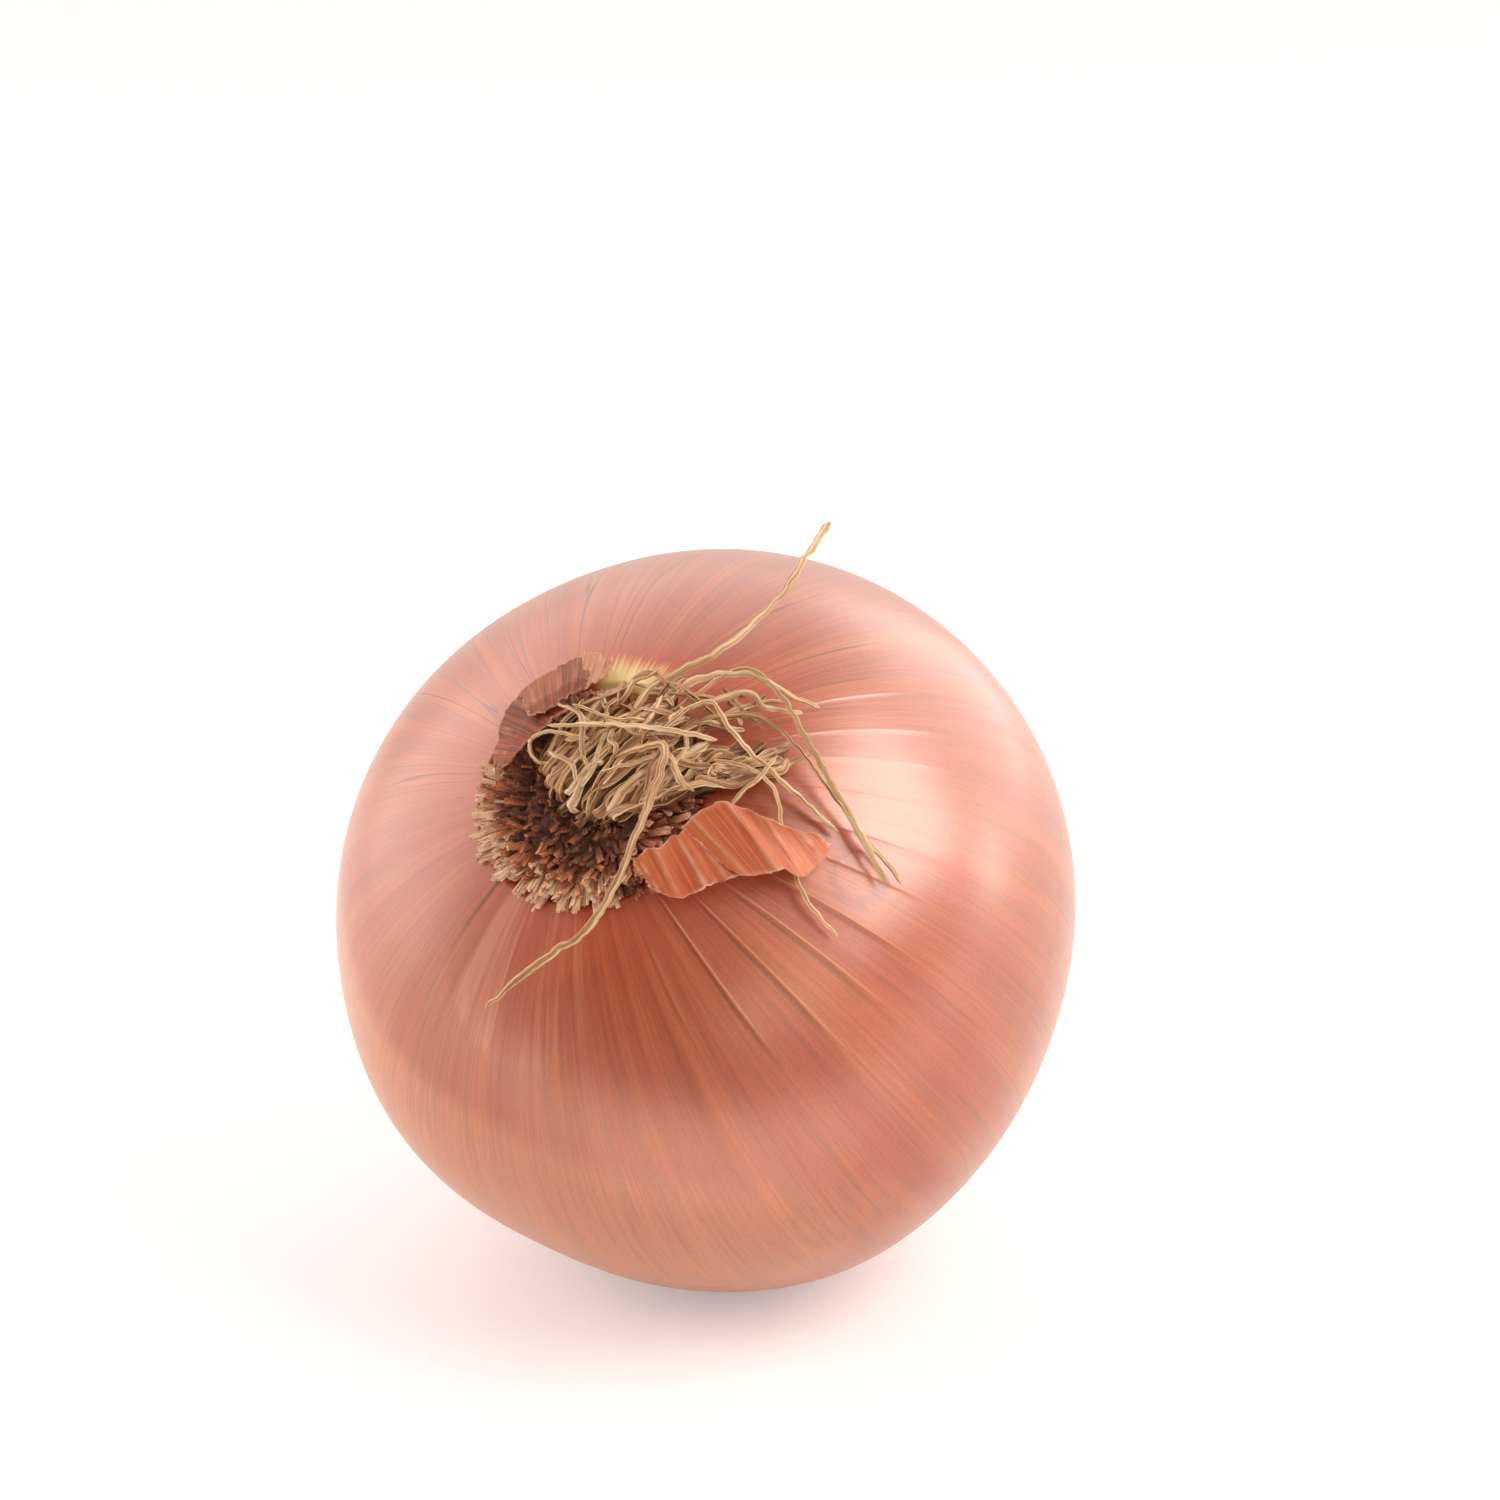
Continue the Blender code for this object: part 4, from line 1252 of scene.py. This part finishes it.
def make_neck_leaves():
    shape = new_shape()
    draw = random.Random(7)
    for index in range(SHEAF_LEAVES):
        longitude = 360 * (index + draw.uniform(-0.2, 0.2)) / SHEAF_LEAVES
        start = SHEAF_RADII[index % 2]
        bends = (draw.uniform(-0.65, -0.45), -0.2, draw.uniform(0.15, 0.4), draw.uniform(0.4, 1.2))
        reach = draw.uniform(12.0, 15.0)
        tone = draw.uniform(0.2, 0.6)
        add_neck_leaf(shape, draw, longitude, start, reach, bends, SHEAF_WIDTH, SHEAF_FAN, tone)
    for index in range(CUFF_LEAVES):
        longitude = 360 * (index + draw.uniform(-0.3, 0.3)) / CUFF_LEAVES
        bends = (0.9, 1.9, draw.uniform(2.3, 2.7), draw.uniform(2.2, 2.9), draw.uniform(2.0, 2.9))
        reach = draw.uniform(5.0, 7.5)
        width = draw.uniform(4.6, 6.6)
        tone = draw.uniform(0.4, 0.8)
        add_neck_leaf(shape, draw, longitude, CUFF_RADIUS, reach, bends, width, CUFF_FAN, tone)
    for longitude, reach, bends in NECK_SCRAPS:
        add_neck_leaf(shape, draw, longitude, SCRAP_RADIUS, reach, bends, SCRAP_WIDTH, SCRAP_FAN, SCRAP_TONE)
    sheet_piece("neck_blades", shape, neck_leaf, "neck_leaves", SKIN_WALL)


LEAF_DARK = paint(112, 54, 32)
LEAF_ORANGE = paint(204, 114, 66)
LEAF_TAN = paint(214, 152, 100)
LEAF_BEIGE = paint(232, 200, 160)


def make_neck_leaf():
    finish, tree, shader = new_finish("neck_leaf", 0.6, coat=0.15, coat_roughness=0.35, specular=0.4)
    streaks = fibres(grain_of(tree), fine=0.18, coarse=0.9, length=6.0, veins=2.0)
    tone = tone_of(tree) + streaks["Coarse"] * 0.8 - 0.3
    stops = ((-0.1, LEAF_DARK), (0.3, LEAF_ORANGE), (0.65, LEAF_TAN), (1.05, LEAF_BEIGE))
    fine = streaks["Fine"].rise(0.3, 0.7, 0.7, 1.15)
    toned(tone, stops).shaded(fine).into(shader, "Base Color")
    bumped(shader, streaks["Fine"], 0.12)
    return finish


neck_leaf = make_neck_leaf()
make_neck_core()
make_neck_leaves()

# Floor, light and camera
# A pale floor and a white tent that is open and dark on the camera's side. Softboxes light the onion
# from the right and the left, and cards only mirror in its skin. The camera looks down at the root end.

ELEVATION = math.radians(22)
CAMERA_DISTANCE = 600.0
FOCAL_PIXELS = 5552.0
PICTURE_PIXELS = 1500
BULB_CENTRE_IN_PICTURE = (708.0, 918.0)
SENSOR = 36.0
FLOOR_HALF_SIZE = 3.0
FLOOR_WHITE = (0.9, 0.9, 0.9, 1)
FLOOR_DARK = (0.1, 0.1, 0.1, 1)
FLOOR_GLOW = 0.3
MIRROR_GLOW = 0.21
# The mirrored floor's red, green and blue
MIRROR_WARMTH = (1.0, 0.83, 0.7)
TENT_WHITE = (1, 0.98, 0.94, 1)
# Name, where to as (right, up, back) in the camera's view, how far, size, glow, warmth, and whether the
# lamp lights the surfaces and whether it mirrors in them
LAMPS = (
    ("key_softbox", (0.74, 0.46, 0.49), 0.75, (0.6, 0.6), 3.7, 0.14, True, True),
    ("key_card", (0.69, 0.52, 0.5), 0.72, (0.5, 0.6), 6.8, 0.08, False, True),
    ("window", (0.978, 0.16, -0.1), 0.75, (0.16, 0.2), 8.0, 0.1, False, True),
    ("left_softbox", (-0.95, 0.16, 0.0), 0.6, (0.5, 0.6), 3.4, 0.04, True, False),
    ("left_card", (-0.94, 0.28, -0.2), 0.6, (0.55, 0.85), 1.75, 0.16, False, True),
    ("top_card", (-0.1, 0.92, -0.36), 0.9, (1.7, 0.8), 0.9, 0.1, False, True),
    ("right_card", (0.69, 0.57, -0.45), 0.9, (0.85, 0.8), 1.75, 0.06, False, True),
    ("front_fill", (-0.1, 0.3, 0.95), 0.7, (0.5, 0.5), 0.75, 0.04, True, False),
    ("low_card", (0.36, -0.19, 0.92), 0.7, (0.4, 0.22), 3.2, 0.36, False, True),
)

view_right = Vector((1, 0, 0))
view_up = Vector((0, math.sin(ELEVATION), math.cos(ELEVATION)))
view_back = Vector((0, -math.cos(ELEVATION), math.sin(ELEVATION)))


def make_camera():
    lens = bpy.data.cameras.new("camera")
    lens.sensor_width = SENSOR
    lens.lens = FOCAL_PIXELS * SENSOR / PICTURE_PIXELS
    lens.clip_start = 0.05
    made = bpy.data.objects.new("camera", lens)
    bpy.context.scene.collection.objects.link(made)
    millimetres_a_pixel = CAMERA_DISTANCE / FOCAL_PIXELS
    right = (PICTURE_PIXELS / 2 - BULB_CENTRE_IN_PICTURE[0]) * millimetres_a_pixel
    up = (BULB_CENTRE_IN_PICTURE[1] - PICTURE_PIXELS / 2) * millimetres_a_pixel
    made.location = bulb_centre + (view_back * CAMERA_DISTANCE + view_right * right + view_up * up) * MM
    made.rotation_euler = (math.pi / 2 - ELEVATION, 0, 0)
    bpy.context.scene.camera = made


def make_floor():
    """A white floor, a little aglow. On the bulb it mirrors warm from close by and dark from far in front."""
    shape = bmesh.new()
    bmesh.ops.create_grid(shape, x_segments=1, y_segments=1, size=FLOOR_HALF_SIZE)
    mesh = bpy.data.meshes.new("floor")
    shape.to_mesh(mesh)
    shape.free()
    made = bpy.data.objects.new("floor", mesh)
    bpy.context.scene.collection.objects.link(made)
    finish, tree, shader = new_finish("floor_white", 0.7, specular=0.2)
    place = values_of(tree, add_node(tree, "ShaderNodeTexCoord"))["Object"]
    spot = values_of(tree, add_node(tree, "ShaderNodeSeparateXYZ", place))
    aside, ahead = spot["X"], spot["Y"]
    path = values_of(tree, add_node(tree, "ShaderNodeLightPath"))
    mirrored = path["Is Glossy Ray"]
    far = ahead.rise(-0.1, -0.125) * aside.rise(0.3, 0.12)
    mix_of(tree, mirrored * far, FLOOR_WHITE, FLOOR_DARK).into(shader, "Base Color")
    sheen = ahead.rise(-0.038, -0.064) * ahead.rise(-0.13, -0.105)
    sheen *= abs(aside).rise(0.02, 0.07, 2.0, 1.1)
    seen = path["Is Camera Ray"] * FLOOR_GLOW
    mirror = mirrored * (sheen + MIRROR_GLOW)
    red, green, blue = (mirror * part + seen for part in MIRROR_WARMTH)
    red.through("ShaderNodeCombineXYZ", green, blue).into(shader, "Emission Color")
    shader.inputs["Emission Strength"].default_value = 1.0
    mesh.materials.append(finish)


def softbox(name, toward, distance, size, glow, warmth, lights, mirrors):
    """A lamp of an even glow that looks at the bulb's centre, placed and sized as a row of LAMPS says."""
    direction = view_right * toward[0] + view_up * toward[1] + view_back * toward[2]
    lamp = bpy.data.lights.new(name, "AREA")
    lamp.shape = "RECTANGLE"
    lamp.size, lamp.size_y = size
    lamp.energy = glow * math.pi * size[0] * size[1]
    lamp.color = (1.0, 1.0 - 0.4 * warmth, 1.0 - warmth)
    made = bpy.data.objects.new(name, lamp)
    made.location = bulb_centre + direction.normalized() * distance
    made.rotation_euler = direction.to_track_quat("Z", "Y").to_euler()
    made.visible_camera = False
    made.visible_diffuse = lights
    made.visible_glossy = mirrors
    bpy.context.scene.collection.objects.link(made)


def make_tent():
    """The world: white all round, and dark in a wide round on the camera's side."""
    world = bpy.data.worlds.new("tent")
    bpy.context.scene.world = world
    world.use_nodes = True
    tree = world.node_tree
    background = tree.nodes["Background"]
    toward = values_of(tree, add_node(tree, "ShaderNodeTexCoord"))["Generated"]
    facing = add_node(tree, "ShaderNodeVectorMath", toward, tuple(view_back), operation="DOT_PRODUCT")
    values_of(tree, facing)["Value"].rise(0.35, 0.05, 0.1, 1.05).into(background, "Strength")
    background.inputs["Color"].default_value = TENT_WHITE


make_camera()
make_floor()
make_tent()
for lamp in LAMPS:
    softbox(*lamp)
bpy.context.scene.view_settings.view_transform = "Standard"
